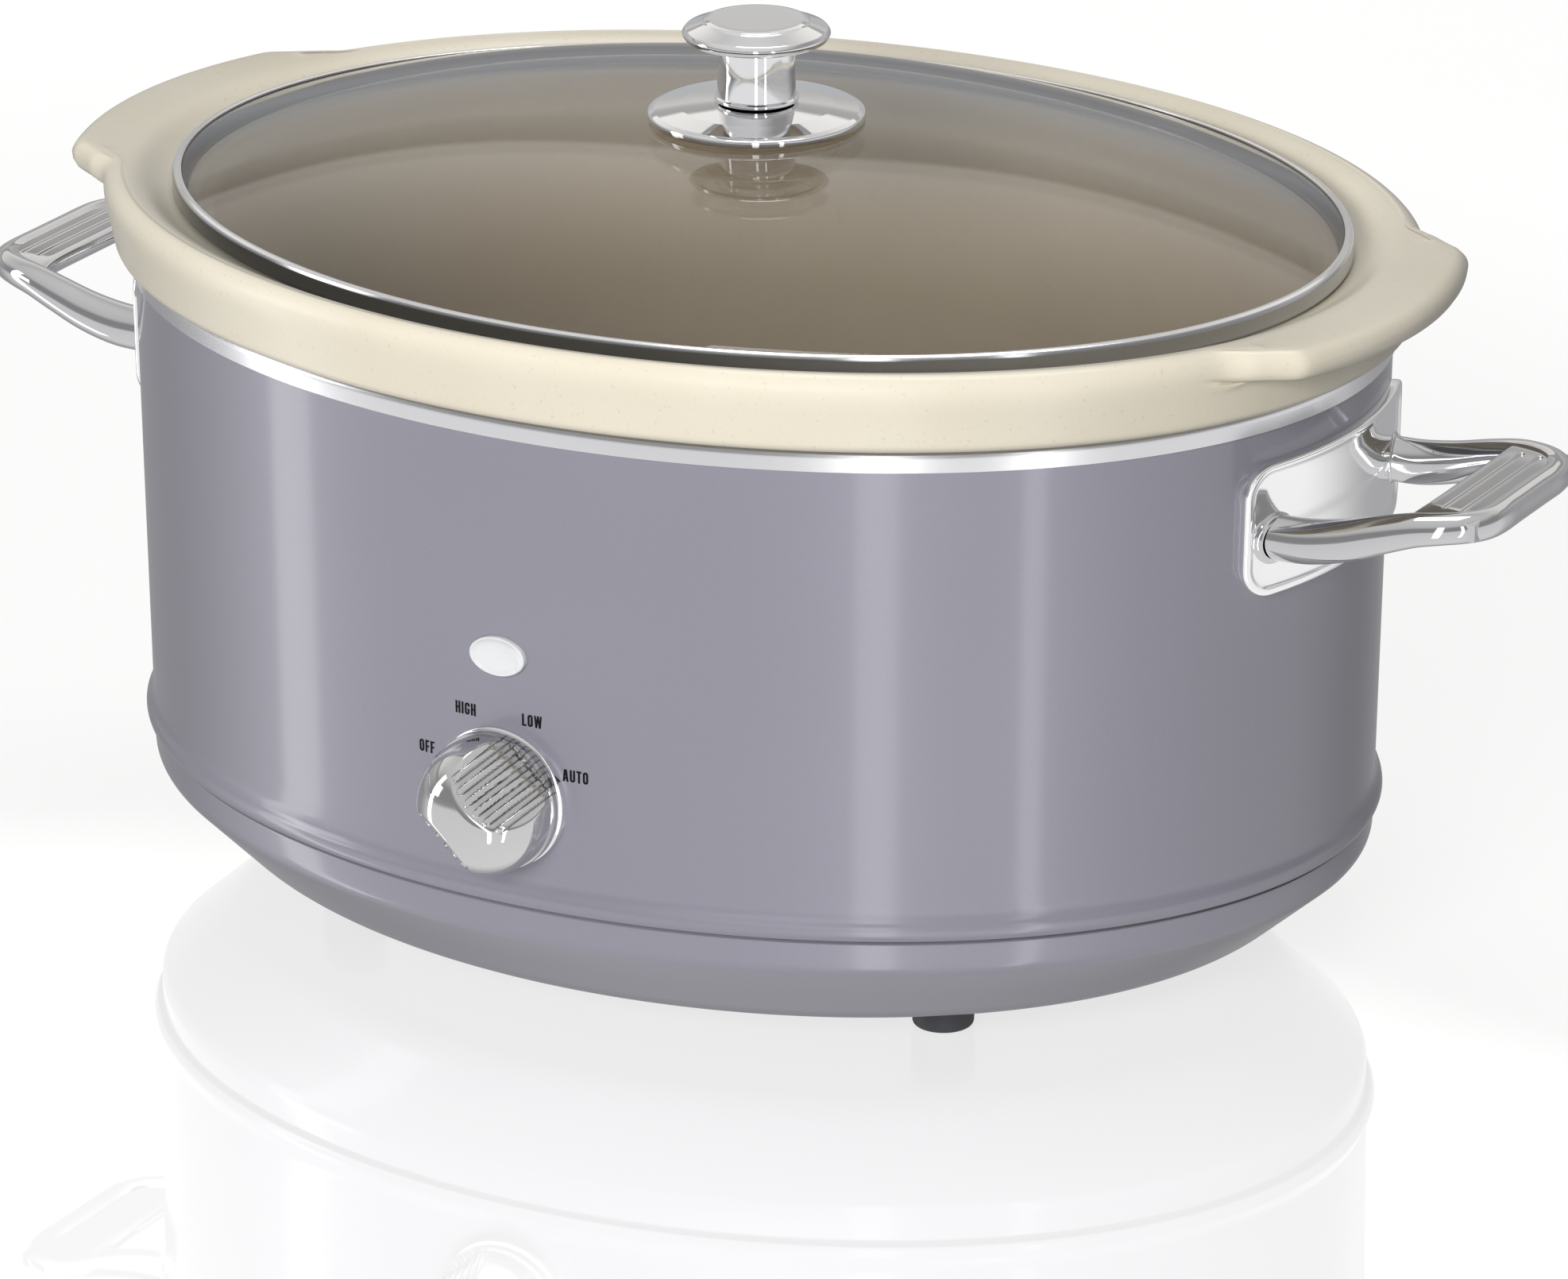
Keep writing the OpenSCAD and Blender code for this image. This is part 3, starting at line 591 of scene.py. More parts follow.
def pot_section(e):
    """Cross-section of the pot, from the middle of its base round to the middle of its floor."""
    w = ease(0.0, 5.0, e)
    mix = lambda a, b: a + (b - a) * w
    line = [(0, POT_FOOT), (60, POT_FOOT)] + arc(pot_r(53) - 24, 53, 24, -90, -9, 10)
    line += [(pot_r(90), 90), (pot_r(130), 130), (POT_HIGH, 169), (HALF - 13.2, 171.5),
             (HALF - 11.4, 172.6), (HALF - 4, 172.6)]
    line += arc(HALF + 2.8, 175.6, 3, -90, -6, 6)
    line += [(HALF + 6.5, 179), (HALF + 7.15, 181.8)]
    # underside and edge of the lug, folded flat into the skirt where there is no lug
    zc, rho = mix(187.9, 188.7), mix(5.2, 4.1)
    cx = mix(HALF + 3.0, LIP + e - rho)
    under = zc - rho
    line += [(mix(HALF + 7.5, LIP - 0.6), mix(183.3, under - 1.2)),
             (mix(HALF + 7.75, LIP + 0.4), mix(184.4, under - 0.3)),
             (mix(HALF + 7.95, LIP + max(e - rho, 0.5) * 0.5), mix(185.4, under))]
    line += [(cx + mix(5.08 + k * 0.04, rho * math.cos(a)), mix(186.2 + k * 0.4, zc + rho * math.sin(a)))
             for k, a in enumerate([math.radians(d) for d in (-90, -68, -45, -22)])]
    line += arc(cx, zc, rho, 5, 88, 10)
    line += [(mix(HALF + 3.0, LIP + e - rho - 2.5), 192.97), (mix(HALF + 2.2, HALF + 9), mix(192.93, 192.8)),
             (HALF + mix(1.2, 3.0), mix(192.75, 192.75))]
    line += [(HALF - 0.2, 192.35), (HALF - 1.8, 191.7), (HALF - 3.4, 190.8), (HALF - 5.0, 189.7),
             (HALF - 6.6, 188.7), (HALF - 8.2, 187.9), (HALF - 9.6, 187.45)]
    line += fillet([(HALF - 10.6, 187.3), (HALF - 12, 187.3), (HALF - 18.6, 187.3, 3.0),
                    (HALF - 22.4, 183.2, 6), (HALF - 24.5, 160)], False, 5)
    line += [(HALF - 26.6, 130), (HALF - 29.2, 90)]
    line += arc(HALF - 51.4, 60.5, 20.5, -4, -90, 12) + [(60, POT_FLOOR), (0, POT_FLOOR)]
    return line


angles = []
k = 0.0
while k < 360 - 1e-9:
    a = abs((k + 90) % 180 - 90)
    angles.append(k)
    k += 0.25 if 18 < a < 34 else 1.0
sections = [pot_section(lug_reach(a)) for a in angles]
verts = []
for a, line in zip(angles, sections):
    c, s = math.cos(math.radians(a)), math.sin(math.radians(a))
    verts += [(r * c, OVAL * r * s, z) for r, z in line[1:-1]]
inner = len(sections[0]) - 2      # points of a section without the two on the axis
faces = [tuple(q) for q in grid_faces(len(angles), inner, wrap_rows=True, wrap_cols=False)]
bottom, floor_mid = len(verts), len(verts) + 1
verts += [(0, 0, POT_FOOT), (0, 0, POT_FLOOR)]
for i in range(len(angles)):
    j = (i + 1) % len(angles)
    faces += [(bottom, i * inner, j * inner), (floor_mid, j * inner + inner - 1, i * inner + inner - 1)]
piece("stoneware_pot", verts, faces, stoneware, "crock", ["crock"], "stoneware", sharp=60)


# ---- lid

DOME_R, EDGE_Z, RISE, GLASS_T = HALF - 12, 192.2, 21.0, 3.2


def glass_z(r):
    """Height of the pane's upper face."""
    return EDGE_Z + RISE * (1 - (r / DOME_R) ** 2.6)


rings = [4.5] + [DOME_R * (i / 40) for i in range(2, 40)] + [DOME_R - 1.6]
pane_top = [(r, glass_z(r)) for r in rings] + [(DOME_R - 0.3, glass_z(DOME_R))]
pane_low = [(DOME_R - 0.3, glass_z(DOME_R) - 2.6)] + [(r, glass_z(r) - GLASS_T) for r in reversed(rings)]
piece("lid_pane", *revolve(pane_top + pane_low, SEG, OVAL), pane, "lid", ["lid_glass"], "lid_glass")

BAND = HALF - 11
rim_line = fillet([
    (BAND - 4.2, 187.6, 0.3), (BAND - 0.6, 187.6, 0.5), (BAND, 188.4, 0.5), (BAND, 192.2, 0.5),
    (BAND - 0.45, 193.1, 0.5), (BAND - 1.3, 193.45, 0.5), (BAND - 2.5, 193.4, 0.3), (BAND - 2.6, 192.8, 0.1),
    (BAND - 1.5, 192.3, 0.2), (BAND - 0.9, 191.6), (BAND - 0.9, 189.0, 0.2),
    (BAND - 4.2, 188.6, 0.2)], True, 5)
piece("lid_band", *revolve(rim_line, SEG, OVAL), band_steel("rim_steel", 192.7), "lid", ["lid_rim"],
      "rim_steel", sharp=40)

DISC_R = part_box("knob_plate")[1].x / MM
CAP_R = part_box("knob_cap")[1].x / MM
disc_line = fillet([
    (3, 214.2), (DISC_R - 2.4, 214.1, 0.3), (DISC_R - 1.2, 213.4, 0.3), (DISC_R, 213.5, 0.4),
    (DISC_R, 215.3, 0.7), (DISC_R - 1.6, 215.9, 1.2), (20, 216.9, 8), (10.9, 217.8), (3, 218.1)], True, 5)
piece("knob_disc", *revolve(disc_line, 160), trim, "lid", ["knob_plate"], "bright_trim", sharp=40)
STEM_LOW, STEM_HIGH = 218.2, TOP_Z - 6.6
stem_line = fillet([
    (2.5, STEM_LOW), (10.3, STEM_LOW, 0.3), (11.0, STEM_LOW + 0.4, 0.3), (11.0, STEM_LOW + 1.1, 0.3),
    (10.3, STEM_LOW + 1.5, 0.3), (10.0, STEM_LOW + 8), (10.1, STEM_HIGH, 0.3), (4.1, STEM_HIGH),
    (2.5, STEM_HIGH - 5)], True, 5)
piece("knob_neck", *revolve(stem_line, 128), trim, "lid", ["knob_stem"], "bright_trim", sharp=40)
cap_line = fillet([
    (0, STEM_HIGH - 3), (4, STEM_HIGH - 3), (4, STEM_HIGH + 0.1), (CAP_R - 4.6, STEM_HIGH + 0.3, 2),
    (CAP_R - 1.0, STEM_HIGH + 1.3, 1.4), (CAP_R, STEM_HIGH + 2.9, 0.9), (CAP_R - 0.9, STEM_HIGH + 4.2, 0.8),
    (CAP_R - 5.4, STEM_HIGH + 5.9, 1.2), (CAP_R - 5.9, STEM_HIGH + 6.35, 0.3), (CAP_R - 7.0, TOP_Z, 0.4),
    (6, TOP_Z), (0, TOP_Z)], False, 6)
piece("knob_head", *revolve(dense(cap_line, 2), 160, closed=False), trim, "lid",
      ["knob_cap"], "bright_trim", sharp=40)


# ---- handles

def rounded_outline(half_w, low, high, r, inset, per=10):
    """Rounded rectangle in (y, z), inset, with a fixed number of points."""
    w, lo, hi, rr = half_w - inset, low + inset, high - inset, max(0.02, r - inset)
    pts = []
    centres = ((w - rr, hi - rr), (-w + rr, hi - rr), (-w + rr, lo + rr), (w - rr, lo + rr))
    for (cy, cz), a0 in zip(centres, (0, 90, 180, 270)):
        pts += arc(cy, cz, rr, a0, a0 + 90, per)
    out, n = [], len(pts)
    for i, p in enumerate(pts):
        q = pts[(i + 1) % n]
        out.append(p)
        if i % (per + 1) == per:
            out += [(p[0] + (q[0] - p[0]) * t / 14, p[1] + (q[1] - p[1]) * t / 14) for t in range(1, 14)]
    return out


def handle_plate(side):
    """Backing plate with a raised edge, laid on the curved wall."""
    low, high, half_w, corner = 123.0, 158.3, 43.7, 8.5
    steps = [(17.5, 0.05), (9, 0.05), (3, 0.05)]      # (inset, lift), from the back round to the front
    steps += [(0.0, 0.05), (0.0, 2.0), (0.25, 2.55), (0.7, 2.8), (1.5, 2.8), (2.0, 2.6), (2.6, 2.05)]
    steps += [(inset, 1.9) for inset in (3.4, 6, 9, 12, 15, 17.5)]
    levels = [(rounded_outline(half_w, low, high, corner, inset), lift) for inset, lift in steps]
    verts = [on_wall(y, z, lift, side) for ring, lift in levels for y, z in ring]
    n = len(levels[0][0])
    faces = grid_faces(len(levels), n)
    last = (len(levels) - 1) * n
    faces += [tuple(range(n - 1, -1, -1)), tuple(range(last, last + n))]
    return verts, faces


def tube(path, radii, n=32, up=Vector((0, 0, 1))):
    """Round bar swept along a path of points, closed at both ends."""
    verts = []
    pts = [Vector(p) for p in path]
    for i, p in enumerate(pts):
        t = (pts[min(i + 1, len(pts) - 1)] - pts[max(i - 1, 0)]).normalized()
        side = t.cross(up).normalized()
        top = side.cross(t).normalized()
        rx, rz = radii[i]
        verts += [tuple(p + side * (rx * c) + top * (rz * s)) for c, s in circle(n)]
    faces = grid_faces(len(pts), n)
    faces += [tuple(range(n - 1, -1, -1)), tuple(range(len(verts) - n, len(verts)))]
    return verts, faces


def smooth_path(points, n=10):
    """Catmull-Rom curve through points of any dimension."""
    pts = [np.array(p, float) for p in points]
    pts = [2 * pts[0] - pts[1]] + pts + [2 * pts[-1] - pts[-2]]
    out = []
    for i in range(1, len(pts) - 2):
        a, b, c, d = pts[i - 1:i + 3]
        for k in range(n):
            t = k / n
            out.append(0.5 * (2 * b + (c - a) * t + (2 * a - 5 * b + 4 * c - d) * t * t
                              + (3 * b - a - 3 * c + d) * t ** 3))
    return [tuple(float(v) for v in p) for p in out + [pts[-2]]]


def grip():
    """Tube round the outer edge from leg to leg, the grooved plate inside it, and the leg collars."""
    bar_x, bar_z = GRIP_X - 4.0, LEG_Z + 8.5
    half_path = [  # x, y, z, radius across, radius up
        (166.5, LEG_Y, LEG_Z, 5.9, 5.9), (176, LEG_Y, LEG_Z + 0.35, 5.85, 5.85),
        (186, LEG_Y - 0.3, LEG_Z + 2.2, 5.5, 5.5), (196, LEG_Y - 1.0, LEG_Z + 5.2, 5.0, 4.9),
        (204, LEG_Y - 2.2, LEG_Z + 7.4, 4.6, 4.4),
        (210.5, LEG_Y - 4.0, LEG_Z + 8.3, 4.3, 4.1), (215.6, LEG_Y - 7.0, LEG_Z + 8.6, 4.15, 4.0),
        (218.9, LEG_Y - 11.6, LEG_Z + 8.6, 4.05, 4.0), (bar_x, LEG_Y - 17.5, bar_z, 4.0, 4.0),
        (bar_x, 8, bar_z, 4.0, 4.0), (bar_x, 0, bar_z, 4.0, 4.0)]
    path = smooth_path(half_path + [(x, -y, z, a, b) for x, y, z, a, b in half_path[-2::-1]], 8)
    frame_tube = tube([p[:3] for p in path], [p[3:] for p in path], 40)
    # plate between the legs: grooved top, rounded inner edge
    x0, x1, top, half_w = 203.0, bar_x + 0.2, LEG_Z + 11.7, 30
    grooves, groove_half, groove_deep = (208.9, 213.9), 23.0, 0.55

    def dip(x, y):
        d = 0.0
        for g in grooves:
            past = max(0.0, abs(y) - groove_half)
            d += groove_deep * (1 - ease(0.25, 0.85, math.hypot(x - g, past)))
        return d

    xs = [x0, x0 + 0.05, x0 + 0.25, x0 + 0.7, x0 + 1.4, x0 + 2.4]
    drops = [2.4, 1.5, 0.8, 0.3, 0.05, 0.0]
    x = x0 + 3.2
    while x < x1:
        near = min(abs(x - g) for g in grooves)
        xs.append(x)
        drops.append(0.0)
        x += 0.14 if near < 1.3 else 0.8
    xs.append(x1)
    drops.append(0.0)
    ys = [-30.0, -28, -26, -25] + [-24.6 + 0.16 * i for i in range(18)] + [-21.6 + 1.2 * i for i in range(37)]
    ys += [21.7 + 0.16 * i for i in range(18)] + [25, 26, 28, 30]

    def edge_x(x, y):
        bow = 1.4 * (abs(y) / half_w) ** 6
        return x - bow * (1 - (x - x0) / (x1 - x0))

    rows_top = [[(edge_x(x, y), y, top - d - dip(x, y) - 0.9 * (abs(y) / half_w) ** 8) for y in ys]
                for x, d in zip(xs, drops)]
    low_xs = [x0 + 0.05, x0 + 0.5, x0 + 1.6, x0 + 4, x1]
    low_d = [0.0, 1.3, 2.2, 2.6, 2.6]
    rows_low = [[(edge_x(x, y), y, top - 2.8 - d) for y in ys] for x, d in zip(low_xs, low_d)]
    rows = rows_low[::-1] + rows_top
    n = len(ys)
    verts = [p for row in rows for p in row]
    faces = grid_faces(len(rows), n, wrap_rows=True, wrap_cols=False)
    faces += [tuple(i * n for i in range(len(rows))),
              tuple(i * n + n - 1 for i in reversed(range(len(rows))))]
    slab = (verts, faces)
    collars = []
    for y in (LEG_Y, -LEG_Y):
        ring = []
        for r, h in ((5.7, 1.5), (6.7, 1.75), (6.75, 2.05), (6.35, 2.45), (5.9, 2.75), (5.6, 3.4),
                     (5.2, 3.5)):
            ring.append([on_wall(y + r * c, LEG_Z + r * s, h) for c, s in circle(48)])
        cv = [p for row in ring for p in row]
        collars.append((cv, grid_faces(len(ring), 48, wrap_rows=True)))
    return frame_tube, slab, collars


def mirrored(part):
    """The same part on the other end of the cooker."""
    verts, faces = part
    return [(-x, y, z) for x, y, z in verts], [tuple(reversed(f)) for f in faces]


frame_tube, slab, collars = grip()
for side, where in ((1, "right"), (-1, "left")):
    piece("handle_plate_" + where, *handle_plate(side), plate_metal, "base", ["handle_plate_" + where],
          "bright_trim", sharp=50)
    parts = [frame_tube, slab] + collars
    if side < 0:
        parts = [mirrored(p) for p in parts]
    piece("handle_grip_" + where, *join_meshes(parts), grip_metal, "base", ["handle_grip_" + where],
          "bright_trim", sharp=38)


# ---- control knob, bezel, lamp and dial words

FRONT_Y = -front_wall(0, DIAL_Z)[1]
BAR = 137.5                       # angle of the knob's bar on the dial, in degrees
to_front = Matrix.Translation(Vector((0, -FRONT_Y, DIAL_Z)) * MM) @ Matrix.Rotation(math.radians(90), 4, "X")


def in_dial(angle):
    """Place of a part turned about the dial's axis."""
    return to_front @ Matrix.Rotation(math.radians(angle), 4, "Z")


bezel_line = fillet([(9.4, -1.2), (18.6, -1.2), (18.6, 1.5, 0.5), (17.8, 1.95, 0.3), (9.4, 1.95)], True, 5)
piece("dial_bezel", *revolve(bezel_line, 160), trim, "base", ["knob_bezel"], "bright_trim",
      place=to_front, sharp=40)
REACH = KNOB_FRONT - FRONT_Y      # how far the knob's front stands out from the wall
SKIRT_R = 18.3                    # radius of the knob's skirt
BAR_HALF = 5.2                    # half-width of its bar at the top
BLEND = 0.7                       # width of the soft edges between dome and bar


def knob_height(u, v):
    """Height of the knob's front over the point (u across the bar, v along it)."""
    rho, a = math.hypot(u, v), abs(u)
    if rho >= 17.75:
        return 5.2 - 0.5 * ease(18.1, SKIRT_R, rho)
    dome = 6.4 + (REACH - 6.4) * math.sqrt(max(0.0, 1 - (rho / 17.9) ** 2.3))
    out = a - BAR_HALF
    flank = REACH - 0.7 - (out + 0.0763 * out * abs(out))
    finger = round((v - RIB_SHIFT) / RIB_PITCH) * RIB_PITCH + RIB_SHIFT
    start = 2.3 + 2.0 * (finger / 8.5) ** 2
    off_axis = math.hypot(v - finger, max(0.0, start - out * 1.6)) if abs(finger) < 9 else 9.0
    cut = flank + 0.8 * (1 - ease(0.66, 1.02, off_axis))
    blend = max(0.0, BLEND - abs(dome - cut)) / BLEND
    return max(4.7, min(dome, cut) - blend * blend * BLEND / 4)


def knob_mesh():
    """The control knob: its front as a height field, then its skirt and hollow back."""
    rings, n = 120, 400
    verts = [(0, 0, knob_height(0, 0))]
    rows = []
    reach = [17.72 * (i / rings) ** 0.9 for i in range(1, rings + 1)] + [17.76, 17.95, 18.1, 18.22, SKIRT_R]
    for rho in reach:
        rows.append([len(verts) + k for k in range(n)])
        verts += [(rho * c, rho * s, knob_height(rho * c, rho * s)) for c, s in circle(n)]
    for rho, z in ((SKIRT_R, 3.2), (18.1, 2.6), (17.4, 2.45), (9.0, 2.45), (8.7, 3.5), (3.1, 3.5), (3.1, 12)):
        rows.append([len(verts) + k for k in range(n)])
        verts += [(rho * c, rho * s, z) for c, s in circle(n)]
    faces = [(0, rows[0][k], rows[0][(k + 1) % n]) for k in range(n)]
    for a, b in zip(rows, rows[1:]):
        faces += [(a[k], b[k], b[(k + 1) % n], a[(k + 1) % n]) for k in range(n)]
    faces.append(tuple(reversed(rows[-1])))
    return verts, faces


turned = in_dial(BAR - 90)
knob_metal = finger_metal("knob_metal", (0.66, 0.66, 0.66), 0.06, (0, 0, DIAL_Z * MM), math.radians(BAR - 90))
piece("dial_knob", *knob_mesh(), knob_metal, "control", ["control_knob"], "bright_trim",
      place=turned, sharp=30)


def strip(points, half_w, lift):
    """Thin raised strip along points (v, height) in the knob's long plane."""
    verts = []
    for v, h in points:
        verts += [(-half_w, v, h - 0.4), (half_w, v, h - 0.4),
                  (half_w * 0.7, v, h + lift), (-half_w * 0.7, v, h + lift)]
    faces = grid_faces(len(points), 4)
    faces += [(3, 2, 1, 0), tuple(range(len(verts) - 4, len(verts)))]
    return verts, faces


line_pts = [(v, knob_height(0, v)) for v in np.linspace(8.6, 17.2, 24)]
piece("dial_pointer", *strip(line_pts, 0.5, 0.24), knob_metal, "control", (), "bright_trim",
      place=turned, sharp=60)

lens_pts = dense([(0, -2.9), (9.6, -2.9), (9.6, -1.5), (8.0, -1.5), (8.0, 0.7)], 3) + \
    [(7.9, 1.2), (7.6, 1.42), (7.2, 1.42), (6.8, 1.15), (5.0, 0.85), (2.5, 0.72), (0, 0.68)]
FRONT_LAMP = -front_wall(0, LAMP_Z)[1]
lens_place = (Matrix.Translation(Vector((0, -FRONT_LAMP, LAMP_Z)) * MM) @ Matrix.Diagonal((1, 1, 0.65, 1))
              @ Matrix.Rotation(math.radians(90), 4, "X"))
piece("lamp_lens", *revolve(lens_pts, 96, closed=False), lens, "base", ["indicator_lens"], "lens_plastic",
      place=lens_place, sharp=40)


INK_W = 0.175                     # stroke width of the words for a letter height of 1


def slab_stroke(x0, y0, x1, y1):
    """Straight rectangular stroke as two cross-sections."""
    return [(x0, y0, x0, y1), (x1, y0, x1, y1)], False


def lean_stroke(x0, x1, y0=0.0, y1=1.0, half=0.088):
    """Slanting stroke with level ends."""
    return [(x0 - half, y0, x0 + half, y0), (x1 - half, y1, x1 + half, y1)], False


def ribbon(path, closed):
    """Stroke of even width along a curved path."""
    n, out = len(path), []
    for i, p in enumerate(path):
        q0 = path[i - 1] if closed or i else p
        q1 = path[(i + 1) % n] if closed or i < n - 1 else p
        dx, dy = q1[0] - q0[0], q1[1] - q0[1]
        size = math.hypot(dx, dy)
        ox, oy = -dy / size * INK_W / 2, dx / size * INK_W / 2
        out.append((p[0] + ox, p[1] + oy, p[0] - ox, p[1] - oy))
    return out, closed


H_W, N_W = 0.45, 0.38             # widths of the wide and the narrow letters
IN = INK_W / 2
CURVE = 0.15                      # radius of the rounded corners
POST = slab_stroke(0, 0, INK_W, 1)
RING = fillet([(x, y, CURVE) for x, y in ((IN, IN), (H_W - IN, IN), (H_W - IN, 1 - IN), (IN, 1 - IN))],
              True, 8)
HOOK = fillet([(H_W - IN, 0.68), (H_W - IN, 1 - IN, CURVE), (IN, 1 - IN, CURVE), (IN, IN, CURVE),
               (H_W - IN, IN, CURVE), (H_W - IN, 0.5)], False, 8)
CUP = fillet([(IN, 1), (IN, IN, CURVE), (H_W - IN, IN, CURVE), (H_W - IN, 1)], False, 8)
GLYPHS = {
    "H": (H_W, [POST, slab_stroke(H_W - INK_W, 0, H_W, 1), slab_stroke(INK_W, 0.42, H_W - INK_W, 0.57)]),
    "I": (INK_W, [POST]),
    "L": (N_W, [POST, slab_stroke(INK_W, 0, N_W, 0.15)]),
    "F": (N_W, [POST, slab_stroke(INK_W, 0.85, N_W, 1), slab_stroke(INK_W, 0.42, N_W - 0.04, 0.57)]),
    "T": (0.42, [slab_stroke(0.21 - IN, 0, 0.21 + IN, 0.85), slab_stroke(0, 0.85, 0.42, 1)]),
    "O": (H_W, [ribbon(RING, True)]),
    "G": (H_W, [ribbon(HOOK, False), slab_stroke(H_W - 0.22, 0.40, H_W - INK_W, 0.53)]),
    "U": (H_W, [ribbon(CUP, False)]),
    "A": (0.50, [lean_stroke(0.088, 0.215), lean_stroke(0.412, 0.285), slab_stroke(0.17, 0.2, 0.33, 0.34)]),
    "W": (0.68, [lean_stroke(0.19, 0.08, half=0.082), lean_stroke(0.19, 0.34, half=0.075),
                 lean_stroke(0.49, 0.34, half=0.075), lean_stroke(0.49, 0.60, half=0.082)])}


def word(text, x, z, height=3.25, gap=0.115, proud=0.07, sunk=0.005):
    """A dial word printed on the casing, upright, centred at (x, z)."""
    pen = -(sum(GLYPHS[c][0] for c in text) + gap * (len(text) - 1)) / 2
    parts = []
    for c in text:
        width, strokes = GLYPHS[c]
        for rows, closed in strokes:
            verts = []
            for ax, ay, bx, by in rows:
                for gx, gy, lift in ((ax, ay, proud), (bx, by, proud), (bx, by, sunk), (ax, ay, sunk)):
                    verts.append(front_wall(x + (pen + gx) * height, z + (gy - 0.5) * height, lift))
            faces = grid_faces(len(rows), 4, wrap_rows=closed)
            if not closed:
                faces += [(3, 2, 1, 0), tuple(range(len(verts) - 4, len(verts)))]
            parts.append((verts, faces))
        pen += width + gap
    piece("dial_word_" + text.lower(), *join_meshes(parts), ink, "base", (), "black_moulding", sharp=30)


for text, x, rise in (("OFF", -22.4, 8.8), ("HIGH", -10.2, 21.7), ("LOW", 9.2, 21.8), ("AUTO", 21.1, 8.7)):
    word(text, x, DIAL_Z + rise)


# ---- feet and gland

foot_line = fillet([(3.6, 0.0, 0.3), (7.9, 0.0, 1.3), (8.35, 9.5, 0.2), (2.0, 9.5), (2.0, 5.0), (3.6, 5.0)],
                   True, 6)
for name in ("foot_front_left", "foot_front_right", "foot_rear_left", "foot_rear_right"):
    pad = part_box(name)
    cx, cy = middle(pad, "x"), middle(pad, "y")
    verts, faces = revolve(foot_line, 96)
    piece(name + "_pad", [(x + cx, y + cy, z) for x, y, z in verts], faces, rubber, "base", [name],
          "foot_rubber", sharp=40)

gland_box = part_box("cord_gland")
GLAND_Z = middle(gland_box, "z")
REAR, GLAND_END = 132.2, gland_box[1].y / MM      # rear face of the wall, end of the gland
gland_line = fillet([
    (3.8, 122), (6.0, 122), (6.0, REAR + 0.1), (10.0, REAR + 0.1, 0.4), (10.0, 136.2, 0.6),
    (8.9, 137.0, 0.4), (8.9, 138.2), (8.9, 144.2), (8.6, 145.4), (8.0, 148.6, 1.5),
    (6.4, GLAND_END - 0.4, 1.2), (5.0, GLAND_END, 0.6), (3.8, 150.6, 0.3)], True, 5)
verts, faces = revolve(gland_line, 144)
ribbed = []
for x, y, z in verts:
    rho, a = math.hypot(x, y), math.atan2(y, x)
    if 137.4 < z < 145 and rho > 8:
        k = 1 - 0.05 * (0.5 + 0.5 * math.cos(18 * a)) ** 2
        x, y = x * k, y * k
    ribbed.append((x, z, GLAND_Z - y))
piece("gland_body", ribbed, faces, black, "base", ["cord_gland"], "black_moulding", sharp=40)


# ---- floor, light and camera

FLOOR_HALF, FLOOR_Z = 9, -0.0004      # metres; a hair below the feet
floor_mesh = bpy.data.meshes.new("floor")
corners = [(x, y, FLOOR_Z) for x, y in ((-FLOOR_HALF, -FLOOR_HALF), (FLOOR_HALF, -FLOOR_HALF),
                                         (FLOOR_HALF, FLOOR_HALF), (-FLOOR_HALF, FLOOR_HALF))]
floor_mesh.from_pydata(corners, [], [(0, 1, 2, 3)])
floor = bpy.data.objects.new("floor", floor_mesh)
scene.collection.objects.link(floor)
f = Nodes("floor_white")
f.set(Base_Color=f.ramp(f.noise(3.0), [(0.3, (0.24, 0.24, 0.24)), (0.7, (0.26, 0.26, 0.26))]), Roughness=0.6,
      Specular_IOR_Level=0.0, Emission_Color=(1, 1, 1, 1), Emission_Strength=1.05)
mirror = f.add("ShaderNodeBsdfGlossy", Color=(1, 1, 1, 1))
f.link(f.span(f.noise(20.0), 0.008, 0.02), mirror.inputs["Roughness"])
sheet = f.add("ShaderNodeMixShader")
sheet.inputs["Fac"].default_value = 0.34
f.link(f.shader.outputs["BSDF"], sheet.inputs[1])
f.link(mirror.outputs["BSDF"], sheet.inputs[2])
f.link(sheet.outputs["Shader"], f.out.inputs["Surface"])
floor_mesh.materials.append(f.material)
floor.visible_diffuse = floor.visible_glossy = False

world = bpy.data.worlds.new("studio")
scene.world = world
world.use_nodes = True
wt = world.node_tree
wt.nodes.clear()
join, add = wt.links.new, wt.nodes.new


def backdrop(colour, strength=1.0):
    """Even light of one colour from all round."""
    node = add("ShaderNodeBackground")
    node.inputs["Color"].default_value, node.inputs["Strength"].default_value = (*colour, 1), strength
    return node


coord, split = add("ShaderNodeTexCoord"), add("ShaderNodeSeparateXYZ")
join(coord.outputs["Generated"], split.inputs["Vector"])
# what polished faces see: the half of the room behind the cooker, then the half in front of it
BEHIND = [(0.0, (0.42, 0.42, 0.43)), (0.46, (0.36, 0.36, 0.37)), (0.503, (0.50, 0.51, 0.53)),
          (0.55, (0.48, 0.50, 0.52)), (0.595, (0.52, 0.51, 0.50)), (0.642, (0.64, 0.635, 0.62)),
          (0.656, (0.46, 0.455, 0.445)), (0.684, (0.40, 0.39, 0.38)), (0.690, (0.98, 0.96, 0.93)),
          (0.78, (0.86, 0.84, 0.81)), (0.88, (0.62, 0.61, 0.60)), (1.0, (0.80, 0.80, 0.80))]
BEFORE = [(0.0, (0.92, 0.92, 0.92)), (0.46, (0.84, 0.84, 0.85)), (0.505, (0.40, 0.40, 0.42)),
          (0.56, (0.34, 0.34, 0.35)), (0.70, (0.34, 0.335, 0.33)), (0.80, (0.70, 0.70, 0.70)),
          (1.0, (0.80, 0.80, 0.80))]


def world_range(value, start, end):
    """Maps a value running from start to end onto 0 to 1."""
    node = add("ShaderNodeMapRange")
    for key, value_at in (("From Min", start), ("From Max", end)):
        node.inputs[key].default_value = value_at
    join(value, node.inputs["Value"])
    return node


def sky_ramp(stops, value):
    node = add("ShaderNodeValToRGB")
    set_stops(node, stops)
    join(value, node.inputs["Fac"])
    return node.outputs["Color"]


